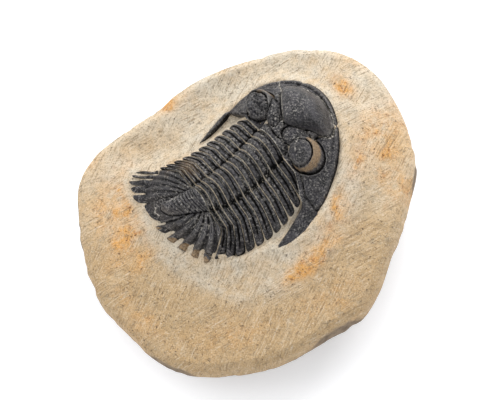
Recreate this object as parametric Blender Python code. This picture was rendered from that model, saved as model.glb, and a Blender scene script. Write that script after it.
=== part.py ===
"""Trilobite fossil on its limestone slab: a rounded, split cobble with the jointed shell of a
Hollardops-like trilobite lying on it.  The shell is modelled as the plates that it is made of:
head shield (cephalon), eleven thorax segments and tail shield (pygidium).

Shapes are written in millimetres in the fossil's own frame: +x runs to the head, +y to the
animal's left and +z up from the plane that the shell lies on.  They are then bent as the body is
bent, turned and set on the slab.  Blender objects are in metres, +Z up."""
import math

import bpy
from mathutils import Vector, geometry

MM = 0.001
GAP = 0.3                        # clearance between pieces that touch in the real fossil

# how the body lies on the slab
FOSSIL_PLACE = (0.8, 6.1, 26.6)  # the body frame's origin, from the middle of the slab's base
FOSSIL_YAW = 38.1                # degrees that the head points away from +X
FOSSIL_PITCH = 7.15              # head end raised
FOSSIL_ROLL = 9.3                # left side down
BEND_LENGTH = 30.0
SIDE_BEND = (9.5, -5.8)          # sideways bend of the midline, square and cube terms
SIDE_TURN = (-0.088, 0.02)       # turn of the segments that goes with the bend
TAIL_LIFT = -0.9
TWIST = -0.074

# the thin bed under the shell
BED_Z = -0.9
BED_CLIMB = 0.0017
BED_SINK = 0.004
BED_STEP = 8.0

# cephalon
HEAD_CENTRE_X = 10.8
HEAD_RADIUS = 20.3
HEAD_SKEW = 0.4                  # the front left is a little fuller than the front right
HEAD_NOSE = (1.6, 12.0, 31.0)     # bulge of the front: height, bearing and width in degrees
HEAD_CHEEKS = ((-0.5, 6), (1.1, 30))     # left and right: more radius, and the power of its growth
HEAD_DOME = 7.4
HEAD_FRONT_Z = 1.8
HEAD_SIDE_Z = 0.4
BORDER_WIDTH = 1.5
BORDER_FURROW = (0.6, 0.2)       # its depth in front and at the cheeks
GENAL_TIP = ((-3.6, 18.7), (-4.1, 21.3))     # spine at the left rear corner, then the right one
GENAL_TIP_WIDTH = (0.4, 1.6)
GENAL_BULGE = (21.3, 24.9)
GENAL_ANGLE = ((9.6, 19.2), (8.4, 17.3))     # where its inner edge leaves the head
GENAL_CORNER_Y = (12.9, 17.1)    # where the head's rear edge leaves the first seam
GENAL_OPENING = 0.9              # width of the wedge of rock there on the left
LOBE_CENTRE_X = 25.1
LOBE_CENTRE_Y = -0.3
LOBE_REAR = (6.4, 1.2)           # length, and squareness: its rear is drawn out to a point
LOBE_FRONT = (5.6, 1.85)
LOBE_HALF_WIDTH = 10.2
LOBE_TOP_Z = 12.0
GLABELLA_HALF_WIDTH = 5.6
GLABELLA_SPREAD = 0.62
GLABELLA_RISE = 3.2
OCCIPITAL_FURROW_X = 14.8
SIDE_LOBE = (18.5, 5.0)          # middle of the swelling beside the ridge, behind the frontal lobe
SIDE_LOBE_RADII = (2.5, 4.3)
SIDE_LOBE_LEAN = 24.0            # its outer end lies further forward
SIDE_LOBE_TOP_Z = 10.5
LOBE_FURROW_X = 16.6
EYE_CENTRE = (17.2, 10.2)
EYE_RADII = (4.5, 5.0)
EYE_TOP_Z = 11.6
EYE_LID = 0.75                   # radius of the lid, as a share of the eye's
EYE_FOOT_Z = 5.2
NAPE_WIDTH = 1.3                 # of the occipital ring, behind its furrow
HEAD_STEP = 0.95

# thorax
SEGMENTS = 11
THORAX_FRONT_X = 12.2
SEGMENT_LENGTH = 2.5
SEGMENT_SHORTENING = 0.45
AXIS_HALF_WIDTH = 5.95
AXIS_TAPER = 1.7
AXIS_RISE = 3.7
FURROW_Z = 6.9
FULCRUM_Y = 10.7
FULCRUM_Z = 6.5
TIP_Z = 0.5
TIP_HALF_WIDTH = (15.4, 17.8)    # at the first segment and at the widest
SWEEP = (1.3, 0.0395)            # how far tips lie behind: constant, and per segment squared
RING_ARCH = 1.1
SEGMENT_RELIEF = 0.55            # depth of a segment's front edge below its crest
SEGMENT_PROFILE = ((0.0, 1.0), (0.3, 0.2), (0.72, 0.0), (1.0, 0.55))
RING_RELIEF = 1.5                # the axial rings stand out more than the pleurae
TAIL_AXIS_DROP = 0.7             # the axis is this much lower at the last segment
TIP_ROUNDING = 0.25
LEFT_TIPS_SHORTER = (1.0, 1.75)   # the rock hides the ends of the left pleurae: first and last

# pygidium
TAIL_END_X = -26.8
TAIL_CORNER_Y = (15.0, 16.4)     # left and right, beyond which its front edge ends
MARGIN_RADIUS = ((13.5, 1.8), (13.0, 4.3))   # of the line of notches: behind, and more to the side
RIBS = 6                         # a side
RIB_ANGLE = (23.0, 22.5)
RIB_POWER = (0.7, 0.65)
# the spines of each side from the middle outwards: root x and y, tip x and y, half width
LEFT_SPINES = ((-25.7, 5.3, -27.8, 5.0, 1.35),
               (-24.6, 8.8, -27.2, 8.4, 1.05),
               (-23.8, 11.2, -26.5, 11.3, 0.9),
               (-19.5, 13.05, -24.9, 13.8, 0.5),
               (-18.3, 14.6, -23.5, 15.4, 0.4))
RIGHT_SPINES = ((-24.8, 4.9, -26.9, 5.9, 1.5),
                (-24.1, 8.5, -25.9, 10.0, 1.3),
                (-22.9, 11.5, -24.8, 13.0, 1.3),
                (-21.5, 14.0, -23.3, 15.5, 1.1),
                (-20.2, 15.8, -21.9, 17.4, 0.8))
# a notch of the margin before each spine, and one after the last
LEFT_NOTCHES = ((-25.9, 3.3), (-24.4, 7.3), (-23.8, 10.1), (-19.5, 12.3), (-18.3, 13.8), (-17.7, 15.2))
RIGHT_NOTCHES = ((-25.1, 2.6), (-24.7, 7.2), (-23.6, 10.3), (-22.4, 13.3), (-21.0, 15.3), (-19.7, 16.8))
RIB_RELIEF = 0.42
RIB_CURL = 28.0
TAIL_AXIS_LENGTH = 9.8
TAIL_AXIS_RISE = 3.2
TAIL_AXIS_FALL = 0.4
TAIL_STEEPNESS = (3.0, 4.4)      # of its slope behind the axis and at its sides
TAIL_MARGIN_Z = 0.9
TAIL_STEP = 1.1

# slab
SLAB_RADII = (46.2, 49.2, 50.3, 51.7, 53.0, 52.5, 50.2, 47.0, 44.1, 42.2, 41.0,
              40.0, 40.3, 43.2, 47.4, 49.5, 48.4, 48.4, 48.4, 48.6, 48.0, 49.0,
              49.5, 48.2, 46.8, 45.9, 44.7, 44.5, 46.0, 45.0, 43.8, 44.7)
SLAB_FACETS = 72
SLAB_TOP = 26.0
SLAB_TILT = 0.12
SLAB_CROWN = 3.0
MOAT_WIDTH = 2.4
MOAT_RISE_WIDTH = 11.0
POCKET_MARGIN = 0.9
SIDE_PROFILE = ((2.4, 1.0), (0.6, 0.93), (0.0, 0.74), (1.6, 0.45), (5.0, 0.2), (9.5, 0.0))


def clamp(value, low=0.0, high=1.0):
    return max(low, min(high, value))


def smooth(value):
    value = clamp(value)
    return value * value * (3.0 - 2.0 * value)


# ---------------------------------------------------------------- body frame to world

def bend(x, y, z):
    t = x / BEND_LENGTH
    turned = x + y * (SIDE_TURN[0] * t + SIDE_TURN[1] * t * t)
    moved = y + SIDE_BEND[0] * t * t + SIDE_BEND[1] * t ** 3
    lifted = z + TAIL_LIFT * t ** 3 + TWIST * y * t
    return turned, moved, lifted


def unbend(turned, moved, lifted):
    """The inverse of bend, by repeated substitution."""
    x, y = turned, moved
    for _ in range(12):
        t = x / BEND_LENGTH
        y = moved - SIDE_BEND[0] * t * t - SIDE_BEND[1] * t ** 3
        x = turned - y * (SIDE_TURN[0] * t + SIDE_TURN[1] * t * t)
    t = x / BEND_LENGTH
    return x, y, lifted - TAIL_LIFT * t ** 3 - TWIST * y * t


def axes():
    """The body frame's axes in the world: yaw about Z, then the pitch and the roll."""
    yaw, pitch, roll = (math.radians(a) for a in (FOSSIL_YAW, FOSSIL_PITCH, FOSSIL_ROLL))
    ahead = Vector((math.cos(yaw) * math.cos(pitch), math.sin(yaw) * math.cos(pitch), math.sin(pitch)))
    level_left = Vector((-math.sin(yaw), math.cos(yaw), 0.0))
    level_up = ahead.cross(level_left)
    left = level_left * math.cos(roll) - level_up * math.sin(roll)
    return ahead, left, ahead.cross(left)


AHEAD, LEFT, UP = axes()


def world(x, y, z):
    a, b, c = bend(x, y, z)
    return Vector(FOSSIL_PLACE) + AHEAD * a + LEFT * b + UP * c


def body(point):
    offset = point - Vector(FOSSIL_PLACE)
    return unbend(offset.dot(AHEAD), offset.dot(LEFT), offset.dot(UP))


def bed(x, y):
    """Underside of the shell, a thin sheet that sinks at the cheeks and climbs to the front."""
    return BED_Z + BED_CLIMB * max(x, 0.0) ** 2 - BED_SINK * y * y


# ---------------------------------------------------------------- seams and section of the body

def seam_x(i):
    """Where seam i crosses the furrows beside the axis; seam 0 is behind the head."""
    x = THORAX_FRONT_X
    for k in range(1, i + 1):
        x -= SEGMENT_LENGTH * (1.0 - SEGMENT_SHORTENING * (k / SEGMENTS) ** 5)
    return x


def axis_half_width(i):
    return AXIS_HALF_WIDTH - AXIS_TAPER * (i / SEGMENTS) ** 3.5


def tip_half_width(i):
    first, widest = TIP_HALF_WIDTH
    return widest - (widest - first) * (1.0 - clamp(i / 6.0)) ** 2 - 1.0 * clamp((i - 8.0) / 3.0) ** 2


def seam(i, y):
    """The seam's x at a distance y from the midline."""
    width = axis_half_width(i)
    y = abs(y)
    x = seam_x(i)
    if y < width:
        return x + RING_ARCH * (1.0 - (y / width) ** 2)
    k = i + 0.5
    reach = clamp((y - FULCRUM_Y) / (tip_half_width(i) - FULCRUM_Y), 0.0, 1.4)
    behind = SWEEP[0] + SWEEP[1] * k * k
    if i == 0:
        behind *= 2.0
    return x - 0.3 * clamp((y - width) / (FULCRUM_Y - width)) - behind * reach ** 1.3


def section(y, width, rise=AXIS_RISE, tip=17.0):
    """Height of the shell across the body: arched axis, furrow, flat inner and sloping outer part."""
    y = abs(y)
    if y < width:
        return FURROW_Z + rise * (1.0 - (y / width) ** 2) ** 0.75
    if y < FULCRUM_Y:
        t = (y - width) / (FULCRUM_Y - width)
        return FURROW_Z + (FULCRUM_Z - FURROW_Z) * t + 0.8 * t * (1.0 - t)
    t = clamp((y - FULCRUM_Y) / (tip - FULCRUM_Y), 0.0, 1.1)
    return FULCRUM_Z - (FULCRUM_Z - TIP_Z) * t ** 1.3


# ---------------------------------------------------------------- mesh helpers

def material(name, colour, roughness):
    mat = bpy.data.materials.new(name)
    mat.use_nodes = True
    shader = mat.node_tree.nodes["Principled BSDF"]
    shader.inputs["Base Color"].default_value = (*colour, 1.0)
    shader.inputs["Roughness"].default_value = roughness
    shader.inputs["Metallic"].default_value = 0.0
    return mat


def slab_middle():
    """Middle of the box around the slab's outline, which is put over the world's origin."""
    outline = slab_ring(0.0)
    xs = [p.x for p in outline]
    ys = [p.y for p in outline]
    return Vector((0.5 * (min(xs) + max(xs)), 0.5 * (min(ys) + max(ys)), 0.0))


def solid(name, points, faces, mat, sharp=50.0):
    middle = slab_middle()
    mesh = bpy.data.meshes.new(name)
    mesh.from_pydata([(p - middle) * MM for p in points], [], faces)
    mesh.materials.append(mat)
    mesh.validate()
    mesh.shade_smooth()
    mesh.set_sharp_from_angle(angle=math.radians(sharp))
    piece = bpy.data.objects.new(name, mesh)
    bpy.context.scene.collection.objects.link(piece)
    return piece


def inside(point, outline):
    x, y = point
    hit = False
    for (x0, y0), (x1, y1) in zip(outline, outline[1:] + outline[:1]):
        if (y0 > y) != (y1 > y) and x < x0 + (y - y0) * (x1 - x0) / (y1 - y0):
            hit = not hit
    return hit


def edge_distance(point, outline):
    """Distance to the outline, negative inside it."""
    p = Vector(point)
    best = 1e9
    for a, b in zip(outline, outline[1:] + outline[:1]):
        a, b = Vector(a), Vector(b)
        t = clamp((p - a).dot(b - a) / max((b - a).length_squared, 1e-9))
        best = min(best, (p - a.lerp(b, t)).length)
    return -best if inside(point, outline) else best


def hex_grid(outline, step, keep_off, lines=()):
    """Points of a triangular grid inside an outline, none near to it or to the lines' points."""
    xs = [p[0] for p in outline]
    ys = [p[1] for p in outline]
    rows = int((max(ys) - min(ys)) / (step * 0.866)) + 2
    columns = int((max(xs) - min(xs)) / step) + 2
    taken = [Vector(p) for line in lines for p in line]
    points = []
    for r in range(rows):
        y = min(ys) + r * step * 0.866
        for c in range(columns):
            point = (min(xs) + (c + 0.5 * (r % 2)) * step, y)
            if edge_distance(point, outline) > -keep_off:
                continue
            if all((Vector(point) - p).length > 0.6 * step for p in taken):
                points.append(point)
    return points


def fill(outline, extra, rings=(), chains=()):
    """Delaunay triangles of an outline and what lies in it; the outline's points come first."""
    points = []
    edges = []
    for ring in (outline, *rings):
        first = len(points)
        points += ring
        edges += [(first + i, first + (i + 1) % len(ring)) for i in range(len(ring))]
    for chain in chains:
        first = len(points)
        points += chain
        edges += [(first + i, first + i + 1) for i in range(len(chain) - 1)]
    points += extra
    flat = [Vector(p) for p in points]
    corners, _, faces, origins, _, _ = geometry.delaunay_2d_cdt(flat, edges, [], 1, 1e-6)
    index = {}
    for place, sources in enumerate(origins):
        if sources:
            index[place] = min(sources)
        else:
            index[place] = len(points)
            points.append(tuple(corners[place]))
    return points, [tuple(index[v] for v in face) for face in faces]


def plate(name, outline, step, top, mat, rings=(), chains=()):
    """A plate of shell: its upper face is top(x, y), its underside lies on the bed.  Rings and
    chains are the creases that the triangles of its upper face follow."""
    grid = hex_grid(outline, step, 0.5 * step, (*rings, *chains))
    upper, upper_faces = fill(outline, grid, rings, chains)
    lower, lower_faces = fill(outline, hex_grid(outline, BED_STEP, 0.4 * BED_STEP))
    count = len(upper)
    points = [world(x, y, top(x, y)) for x, y in upper]
    points += [world(x, y, bed(x, y)) for x, y in lower]
    faces = list(upper_faces)
    faces += [tuple(reversed([count + v for v in face])) for face in lower_faces]
    n = len(outline)
    for i in range(n):
        j = (i + 1) % n
        faces.append((i, count + i, count + j, j))
    return solid(name, points, faces, mat)


def within(points, outline, keep_off):
    return [p for p in points if edge_distance(p, outline) < -keep_off]


def mirror(line):
    return [(x, -y) for x, y in line]


# ---------------------------------------------------------------- cephalon

def radius_at(bearing):
    size, middle, width = HEAD_NOSE
    nose = size * math.exp(-((math.degrees(bearing) - middle) / width) ** 2)
    more, power = HEAD_CHEEKS[bearing < 0.0]
    cheek = more * abs(math.sin(bearing)) ** power
    return HEAD_RADIUS + HEAD_SKEW * math.sin(2.0 * bearing) + nose + cheek


def head_radius(x, y):
    """Radius of the head shield's front at the bearing of a point."""
    return radius_at(math.atan2(y, max(x - HEAD_CENTRE_X, 0.0)))


def head_base(x, y):
    """Vaulted cheek surface under the eyes and the glabella."""
    ahead = max(x - HEAD_CENTRE_X, 0.0)
    distance = math.hypot(ahead, y)
    radius = head_radius(x, y)
    reach = clamp(distance / radius)
    front = ahead / max(distance, 1e-6)
    margin = HEAD_SIDE_Z + (HEAD_FRONT_Z - HEAD_SIDE_Z) * front ** 2
    edge = radius * (1.0 - reach)
    z = margin + HEAD_DOME * (1.0 - reach ** 2.6)
    at_front, at_side = BORDER_FURROW
    furrow = at_side + (at_front - at_side) * front ** 2
    z -= furrow * math.exp(-((edge - BORDER_WIDTH) / 0.6) ** 2)
    z += 0.35 * math.exp(-((edge - 0.5 * BORDER_WIDTH) / 0.5) ** 2)
    return z - 0.5 * math.exp(-(edge / 0.35) ** 2)


def lobe_radius(x, y):
    """1 on the furrow around the frontal lobe, less inside it."""
    length, squareness = LOBE_FRONT if x > LOBE_CENTRE_X else LOBE_REAR
    u = abs(x - LOBE_CENTRE_X) / length
    v = abs(y - LOBE_CENTRE_Y) / LOBE_HALF_WIDTH
    return (u ** squareness + v ** squareness) ** (1.0 / squareness)


def lobe_ring(q, count):
    ring = []
    for k in range(count):
        a = 2.0 * math.pi * k / count
        length, squareness = LOBE_FRONT if math.cos(a) > 0.0 else LOBE_REAR
        u = abs(math.cos(a)) ** (2.0 / squareness) * math.copysign(1.0, math.cos(a))
        v = abs(math.sin(a)) ** (2.0 / squareness) * math.copysign(1.0, math.sin(a))
        ring.append((LOBE_CENTRE_X + q * length * u, LOBE_CENTRE_Y + q * LOBE_HALF_WIDTH * v))
    return ring


def glabella_half_width(x):
    return GLABELLA_HALF_WIDTH + GLABELLA_SPREAD * clamp(x - OCCIPITAL_FURROW_X - 0.7, 0.0, 5.0)


def side_lobe(x, y):
    """1 at the foot of the swelling beside the ridge, less on it."""
    dx = x - SIDE_LOBE[0]
    dy = abs(y) - SIDE_LOBE[1]
    lean = math.radians(SIDE_LOBE_LEAN)
    across = dx * math.cos(lean) - dy * math.sin(lean)
    along = dx * math.sin(lean) + dy * math.cos(lean)
    return math.hypot(across / SIDE_LOBE_RADII[0], along / SIDE_LOBE_RADII[1])


def glabella(x, y, z):
    """The frontal lobe, and the narrower ridge behind it with its cross furrows."""
    q = lobe_radius(x, y)
    if q < 1.0:
        edge = head_base(x, y) - 0.5
        crest = LOBE_TOP_Z - 0.32 * (x - LOBE_CENTRE_X) - 0.004 * y * y
        return max(edge, edge + (crest - edge) * (1.0 - q ** 2.6) ** 0.62)
    z -= 0.5 * math.exp(-((q - 1.0) / 0.06) ** 2)
    w = side_lobe(x, y)
    if w < 1.0:
        return SIDE_LOBE_TOP_Z - 2.2 * w ** 2.5
    if x > LOBE_CENTRE_X - 2.0:
        return z
    width = glabella_half_width(x)
    v = abs(y) / width
    if v > 1.0:
        return z - 0.8 * math.exp(-((v - 1.0) * width / 0.7) ** 2)
    ridge = FURROW_Z + 0.1 * (x - OCCIPITAL_FURROW_X) + GLABELLA_RISE * (1.0 - v ** 2.4) ** 0.7
    ridge -= 1.1 * math.exp(-((x - OCCIPITAL_FURROW_X) / 0.5) ** 2)
    ridge -= 1.2 * math.exp(-((q - 1.0) / 0.08) ** 2)
    ridge -= 0.9 * smooth(1.6 * v - 0.3) * math.exp(-((x - LOBE_FURROW_X) / 0.45) ** 2)
    return ridge - 0.4 * math.exp(-((w - 1.0) / 0.15) ** 2)


def eye(x, y, z):
    dx = (x - EYE_CENTRE[0]) / EYE_RADII[0]
    dy = (abs(y) - EYE_CENTRE[1]) / EYE_RADII[1]
    r = math.hypot(dx, dy)
    if r > 1.25:
        return z
    if r < EYE_LID:
        return EYE_TOP_Z - 1.5 * (r / EYE_LID) ** 2
    drop = (EYE_TOP_Z - EYE_FOOT_Z) * ((r - EYE_LID) / (1.0 - EYE_LID)) ** 1.3
    return max(z - 0.5 * clamp(2.2 - 1.6 * r), EYE_TOP_Z - 1.5 - drop)


def eye_ring(r, count):
    turns = [2.0 * math.pi * k / count for k in range(count)]
    return [(EYE_CENTRE[0] + r * EYE_RADII[0] * math.cos(a), EYE_CENTRE[1] + r * EYE_RADII[1] * math.sin(a))
            for a in turns]


def genal_edge(side, t):
    """Outer edge of a genal spine (side 0 is the left one), t from the cheek to the tip: x, y."""
    tip_x, tip_y = GENAL_TIP[side]
    wide = radius_at((0.5 - side) * math.pi)
    end = tip_y + 0.5 * GENAL_TIP_WIDTH[side]
    y = wide * (1.0 - t) ** 2 + 2.0 * GENAL_BULGE[side] * t * (1.0 - t) + end * t * t
    return HEAD_CENTRE_X + (tip_x - HEAD_CENTRE_X) * t, y


def genal_inner(side, t):
    """Inner edge of a genal spine, t from the head's rear corner to the tip: x, y."""
    (angle_x, angle_y), (tip_x, tip_y) = GENAL_ANGLE[side], GENAL_TIP[side]
    return angle_x + (tip_x - angle_x) * t, angle_y + (tip_y - 0.5 * GENAL_TIP_WIDTH[side] - angle_y) * t


def genal_sides(side, x):
    """The spine's inner and outer edge at x, as distances from the midline."""
    angle_x, tip_x = GENAL_ANGLE[side][0], GENAL_TIP[side][0]
    inner = genal_inner(side, clamp((angle_x - x) / (angle_x - tip_x)))[1]
    return inner, genal_edge(side, clamp((HEAD_CENTRE_X - x) / (HEAD_CENTRE_X - tip_x)))[1]


def genal_spine(x, y, side):
    """Rounded top of the spine that each rear corner of the head shield is drawn out to."""
    inner, outer = genal_sides(side, x)
    t = clamp((GENAL_ANGLE[side][0] - x) / (GENAL_ANGLE[side][0] - GENAL_TIP[side][0]))
    v = clamp(abs((abs(y) - inner) / max(outer - inner, 0.1) * 2.0 - 1.0))
    return 2.0 - 2.2 * t - (1.2 - 0.4 * t) * v * v - 0.4 * (abs(y) - inner) * (1.0 - t)


def cephalon_top(x, y):
    z = eye(x, y, glabella(x, y, head_base(x, y)))
    if abs(y) > axis_half_width(0):
        z -= 0.6 * math.exp(-((x - seam(0, y) - 1.7) / 0.5) ** 2)
    if abs(y) > 16.0:
        side = int(y < 0.0)
        share = smooth((GENAL_ANGLE[side][0] + 1.0 - x) / 3.0)
        z += (genal_spine(x, y, side) - z) * share
    return z


def head_arc(inset, first, last, steps):
    """Points along the head's front, inset from its edge, from one bearing to another."""
    points = []
    for k in range(steps + 1):
        a = math.radians(first + (last - first) * k / steps)
        r = radius_at(a) - inset
        points.append((HEAD_CENTRE_X + r * math.cos(a), r * math.sin(a)))
    return points


def genal_outline(side):
    """One side from the widest place of the head back to the spine's tip and in along the seam."""
    tip_x, tip_y = GENAL_TIP[side]
    half = 0.5 * GENAL_TIP_WIDTH[side]
    line = [genal_edge(side, t) for t in (0.15, 0.32, 0.5, 0.68, 0.84, 0.97)]
    line.append((tip_x - 0.1, tip_y + 0.3 * half))
    line += [genal_inner(side, t) for t in (0.97, 0.75, 0.5, 0.25, 0.0)]
    corner = GENAL_CORNER_Y[side]
    for y in (corner, 16.2, 15.0, 13.6, 12.2, 10.7, 9.2, 7.6, 6.4, 5.6, 4.8, 3.6, 2.4, 1.2):
        if y <= corner:
            opening = GENAL_OPENING * (1 - side) * smooth((y - corner + 1.5) / 1.5)
            line.append((seam(0, y) + 0.5 * GAP + opening, y))
    return line


def cephalon_outline():
    """Rounded front, genal spines, and a rear edge along the first seam."""
    middle = [(seam(0, 0.0) + 0.5 * GAP, 0.0)]
    right = list(reversed(mirror(genal_outline(1))))
    return head_arc(0.0, -90.0, 90.0, 36) + genal_outline(0) + middle + right


def build_cephalon(mat):
    rings = [lobe_ring(1.0, 32), lobe_ring(0.93, 28), lobe_ring(0.75, 20)]
    for count, r in ((12, 0.55), (14, EYE_LID), (16, 1.0)):
        ring = eye_ring(r, count)
        rings += [ring, list(reversed(mirror(ring)))]
    chains = [head_arc(0.35 * BORDER_WIDTH, -85.0, 85.0, 36)]
    chains += [head_arc(BORDER_WIDTH, first, first + 46.0, 12) for first in (-88.0, 42.0)]
    left, right = ([(x, 0.5 * sum(genal_sides(side, x))) for x in (7.0, 5.0, 3.0, 1.0)] for side in (0, 1))
    chains += [left, mirror(right)]
    nape = [(seam(0, y) + NAPE_WIDTH, y) for y in (0.0, 1.6, 3.2, 4.6, 5.6, 6.4)]
    chains.append(mirror(list(reversed(nape))) + nape[1:])
    for v in (0.75, 1.0):
        side = [(13.4 + 0.7 * k, v * glabella_half_width(13.4 + 0.7 * k)) for k in range(11)]
        side = [p for p in side if lobe_radius(*p) > 1.08]
        chains += [side, mirror(side)]
    return plate("cephalon", cephalon_outline(), HEAD_STEP, cephalon_top, mat, rings, chains)


# ---------------------------------------------------------------- thorax

def segment_columns(k, tip):
    """Distances from the midline at which segment k is drawn, from midline to tip."""
    width = axis_half_width(k - 0.5)
    inner = [width * f for f in (0.0, 0.35, 0.65, 0.88, 1.0)]
    middle = [width + (FULCRUM_Y - width) * f for f in (0.35, 0.75)]
    outer = [FULCRUM_Y + (tip - FULCRUM_Y) * f for f in (0.0, 0.3, 0.6, 0.85, 0.96, 1.0)]
    return inner + middle + outer


def build_segment(k, mat):
    width = axis_half_width(k - 0.5)
    right_tip = tip_half_width(k - 0.5)
    first, last = LEFT_TIPS_SHORTER
    left_tip = right_tip - first - (last - first) * k / SEGMENTS
    columns = [-y for y in reversed(segment_columns(k, right_tip)[1:])] + segment_columns(k, left_tip)
    points = []
    for y in columns:
        tip = left_tip if y > 0.0 else right_tip
        end = clamp((abs(y) - FULCRUM_Y) / (tip - FULCRUM_Y))
        front = seam(k - 1, y) - 0.5 * GAP - TIP_ROUNDING * end
        rear = seam(k, y) + 0.5 * GAP + TIP_ROUNDING * end
        round_off = max(0.0, end - 0.8) / 0.2
        front -= 0.5 * round_off ** 2 * (front - rear)
        rear += 0.1 * round_off ** 2 * (front - rear)
        relief = SEGMENT_RELIEF * (RING_RELIEF if abs(y) < width else 1.0)
        top = section(y, width, AXIS_RISE - TAIL_AXIS_DROP * (k / SEGMENTS) ** 3, tip)
        for share, drop in SEGMENT_PROFILE:
            x = front + (rear - front) * share
            points.append(world(x, y, top - drop * relief))
        points.append(world(rear, y, bed(rear, y)))
        points.append(world(front, y, bed(front, y)))
    around = len(SEGMENT_PROFILE) + 2
    faces = []
    for c in range(len(columns) - 1):
        for r in range(around):
            a = c * around + r
            b = c * around + (r + 1) % around
            faces.append((a, a + around, b + around, b))
    faces.append(tuple(range(around)))
    last = (len(columns) - 1) * around
    faces.append(tuple(last + r for r in reversed(range(around))))
    return solid(f"thorax_segment_{k:02d}", points, faces, mat)


# ---------------------------------------------------------------- pygidium

def spine(base_x, base_y, tip_x, tip_y, half):
    """Outline of one spine, inner side first."""
    base = Vector((base_x, base_y))
    along = Vector((tip_x, tip_y)) - base
    across = Vector((along.y, -along.x)).normalized() * half
    sides = ((-1.0, 0.1), (-0.92, 0.75), (-0.5, 1.0), (0.5, 1.0), (0.92, 0.75), (1.0, 0.1))
    return [tuple(base + along * reach + across * side) for side, reach in sides]


def tail_half(spines, notches, corner_y):
    """One side of the tail shield's outline, mirrored to the left, from its middle to its front."""
    half = [(TAIL_END_X, 0.0), (TAIL_END_X + 0.1, notches[0][1] - 0.7), notches[0]]
    for sizes, after in zip(spines, notches[1:]):
        half += spine(*sizes)
        half.append(after)
    for y in (15.4, 14.4, 13.2, 12.0, 10.7, 9.4, 8.0, 6.6, 5.4, 4.4, 3.2, 2.0, 1.0, 0.0):
        if y < corner_y - 0.4:
            end = clamp((y - FULCRUM_Y) / (tip_half_width(SEGMENTS) - FULCRUM_Y))
            half.append((seam(SEGMENTS, y) - 0.5 * GAP - 0.5 * end, y))
    return half


def pygidium_outline():
    left = tail_half(LEFT_SPINES, LEFT_NOTCHES, TAIL_CORNER_Y[0])
    right = tail_half(RIGHT_SPINES, RIGHT_NOTCHES, TAIL_CORNER_Y[1])
    return list(reversed(left)) + mirror(right[1:-1])


def tail_margin(angle, left):
    """Distance of the notches from the middle of the tail shield's front edge; left is 1 on the
    left side and 0 on the right."""
    grow = max((angle - 14.0) / 52.0, 0.0) ** 1.5
    on_left, on_right = (radius + more * grow for radius, more in MARGIN_RADIUS)
    return on_right + (on_left - on_right) * left


def curl(angle, reach):
    """How far the ribs have turned back by the time that they reach the margin, in degrees."""
    return RIB_CURL * (1.0 - min(reach, 1.0)) * smooth(angle / 25.0)


def tail_polar(x, y):
    """Reach (1 at the notches), rib number and bearing of a point of the tail shield."""
    back = seam_x(SEGMENTS) - x
    side = int(y < 0.0)
    angle = math.degrees(math.atan2(abs(y), max(back, 0.0)))
    reach = math.hypot(back, y) / tail_margin(angle, smooth(y / 3.0 + 0.5))
    straight = max(angle - curl(angle, reach), 0.0)
    return reach, (straight / RIB_ANGLE[side]) ** (1.0 / RIB_POWER[side]), angle


def rib_line(rib, side, reaches):
    """A line along the crest (whole numbers) or the groove (halves) of the tail's ribs."""
    points = []
    for reach in reaches:
        straight = RIB_ANGLE[side] * rib ** RIB_POWER[side]
        angle = straight
        for _ in range(8):
            angle = straight + curl(angle, reach)
        radius = reach * tail_margin(angle, 1 - side)
        a = math.radians(angle)
        points.append((seam_x(SEGMENTS) - radius * math.cos(a), (1 - 2 * side) * radius * math.sin(a)))
    return points


def tail_axis(x, y):
    """1 on the furrow around the tail's axis, less inside it; and how far along it is."""
    along = clamp((seam_x(SEGMENTS) - x) / TAIL_AXIS_LENGTH, 0.0, 1.3)
    width = axis_half_width(SEGMENTS) * (1.0 - 0.5 * along)
    return math.hypot(abs(y) / width, max(along - 0.85, 0.0) / 0.22), along, width


def pygidium_top(x, y):
    reach, rib, angle = tail_polar(x, y)
    steep = TAIL_STEEPNESS[0] + (TAIL_STEEPNESS[1] - TAIL_STEEPNESS[0]) * smooth(angle / 85.0)
    z = TAIL_MARGIN_Z + (FURROW_Z - 0.4 - TAIL_MARGIN_Z) * (1.0 - min(reach, 1.0) ** steep)
    z -= 1.8 * max(reach - 1.0, 0.0)
    if rib > 0.5:
        z += RIB_RELIEF * math.cos(2.0 * math.pi * rib) * smooth((reach - 0.2) / 0.3)
    v, along, width = tail_axis(x, y)
    if v < 1.0:
        z += (TAIL_AXIS_RISE - TAIL_AXIS_FALL * along) * (1.0 - v * v) ** 0.7
    else:
        z -= 0.4 * math.exp(-((v - 1.0) * width / 0.6) ** 2)
    return max(z, bed(x, y) + 0.8)


def build_pygidium(mat):
    outline = pygidium_outline()
    chains = []
    reaches = [0.34 + 0.11 * k for k in range(7)]
    for half_ribs in range(1, 2 * RIBS + 1):
        for side in (0, 1):
            line = within(rib_line(0.5 * half_ribs, side, reaches), outline, 0.35)
            line = [p for p in line if tail_axis(*p)[0] > 1.25]
            if len(line) > 1:
                chains.append(line)
    for v in (0.6, 1.0):
        side = []
        for k in range(7):
            back = TAIL_AXIS_LENGTH * (0.06 + 0.125 * k)
            x = seam_x(SEGMENTS) - back
            side.append((x, v * tail_axis(x, 0.0)[2]))
        chains += [side, mirror(side)]
    return plate("pygidium", outline, TAIL_STEP, pygidium_top, mat, (), chains)


# ---------------------------------------------------------------- slab

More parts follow.
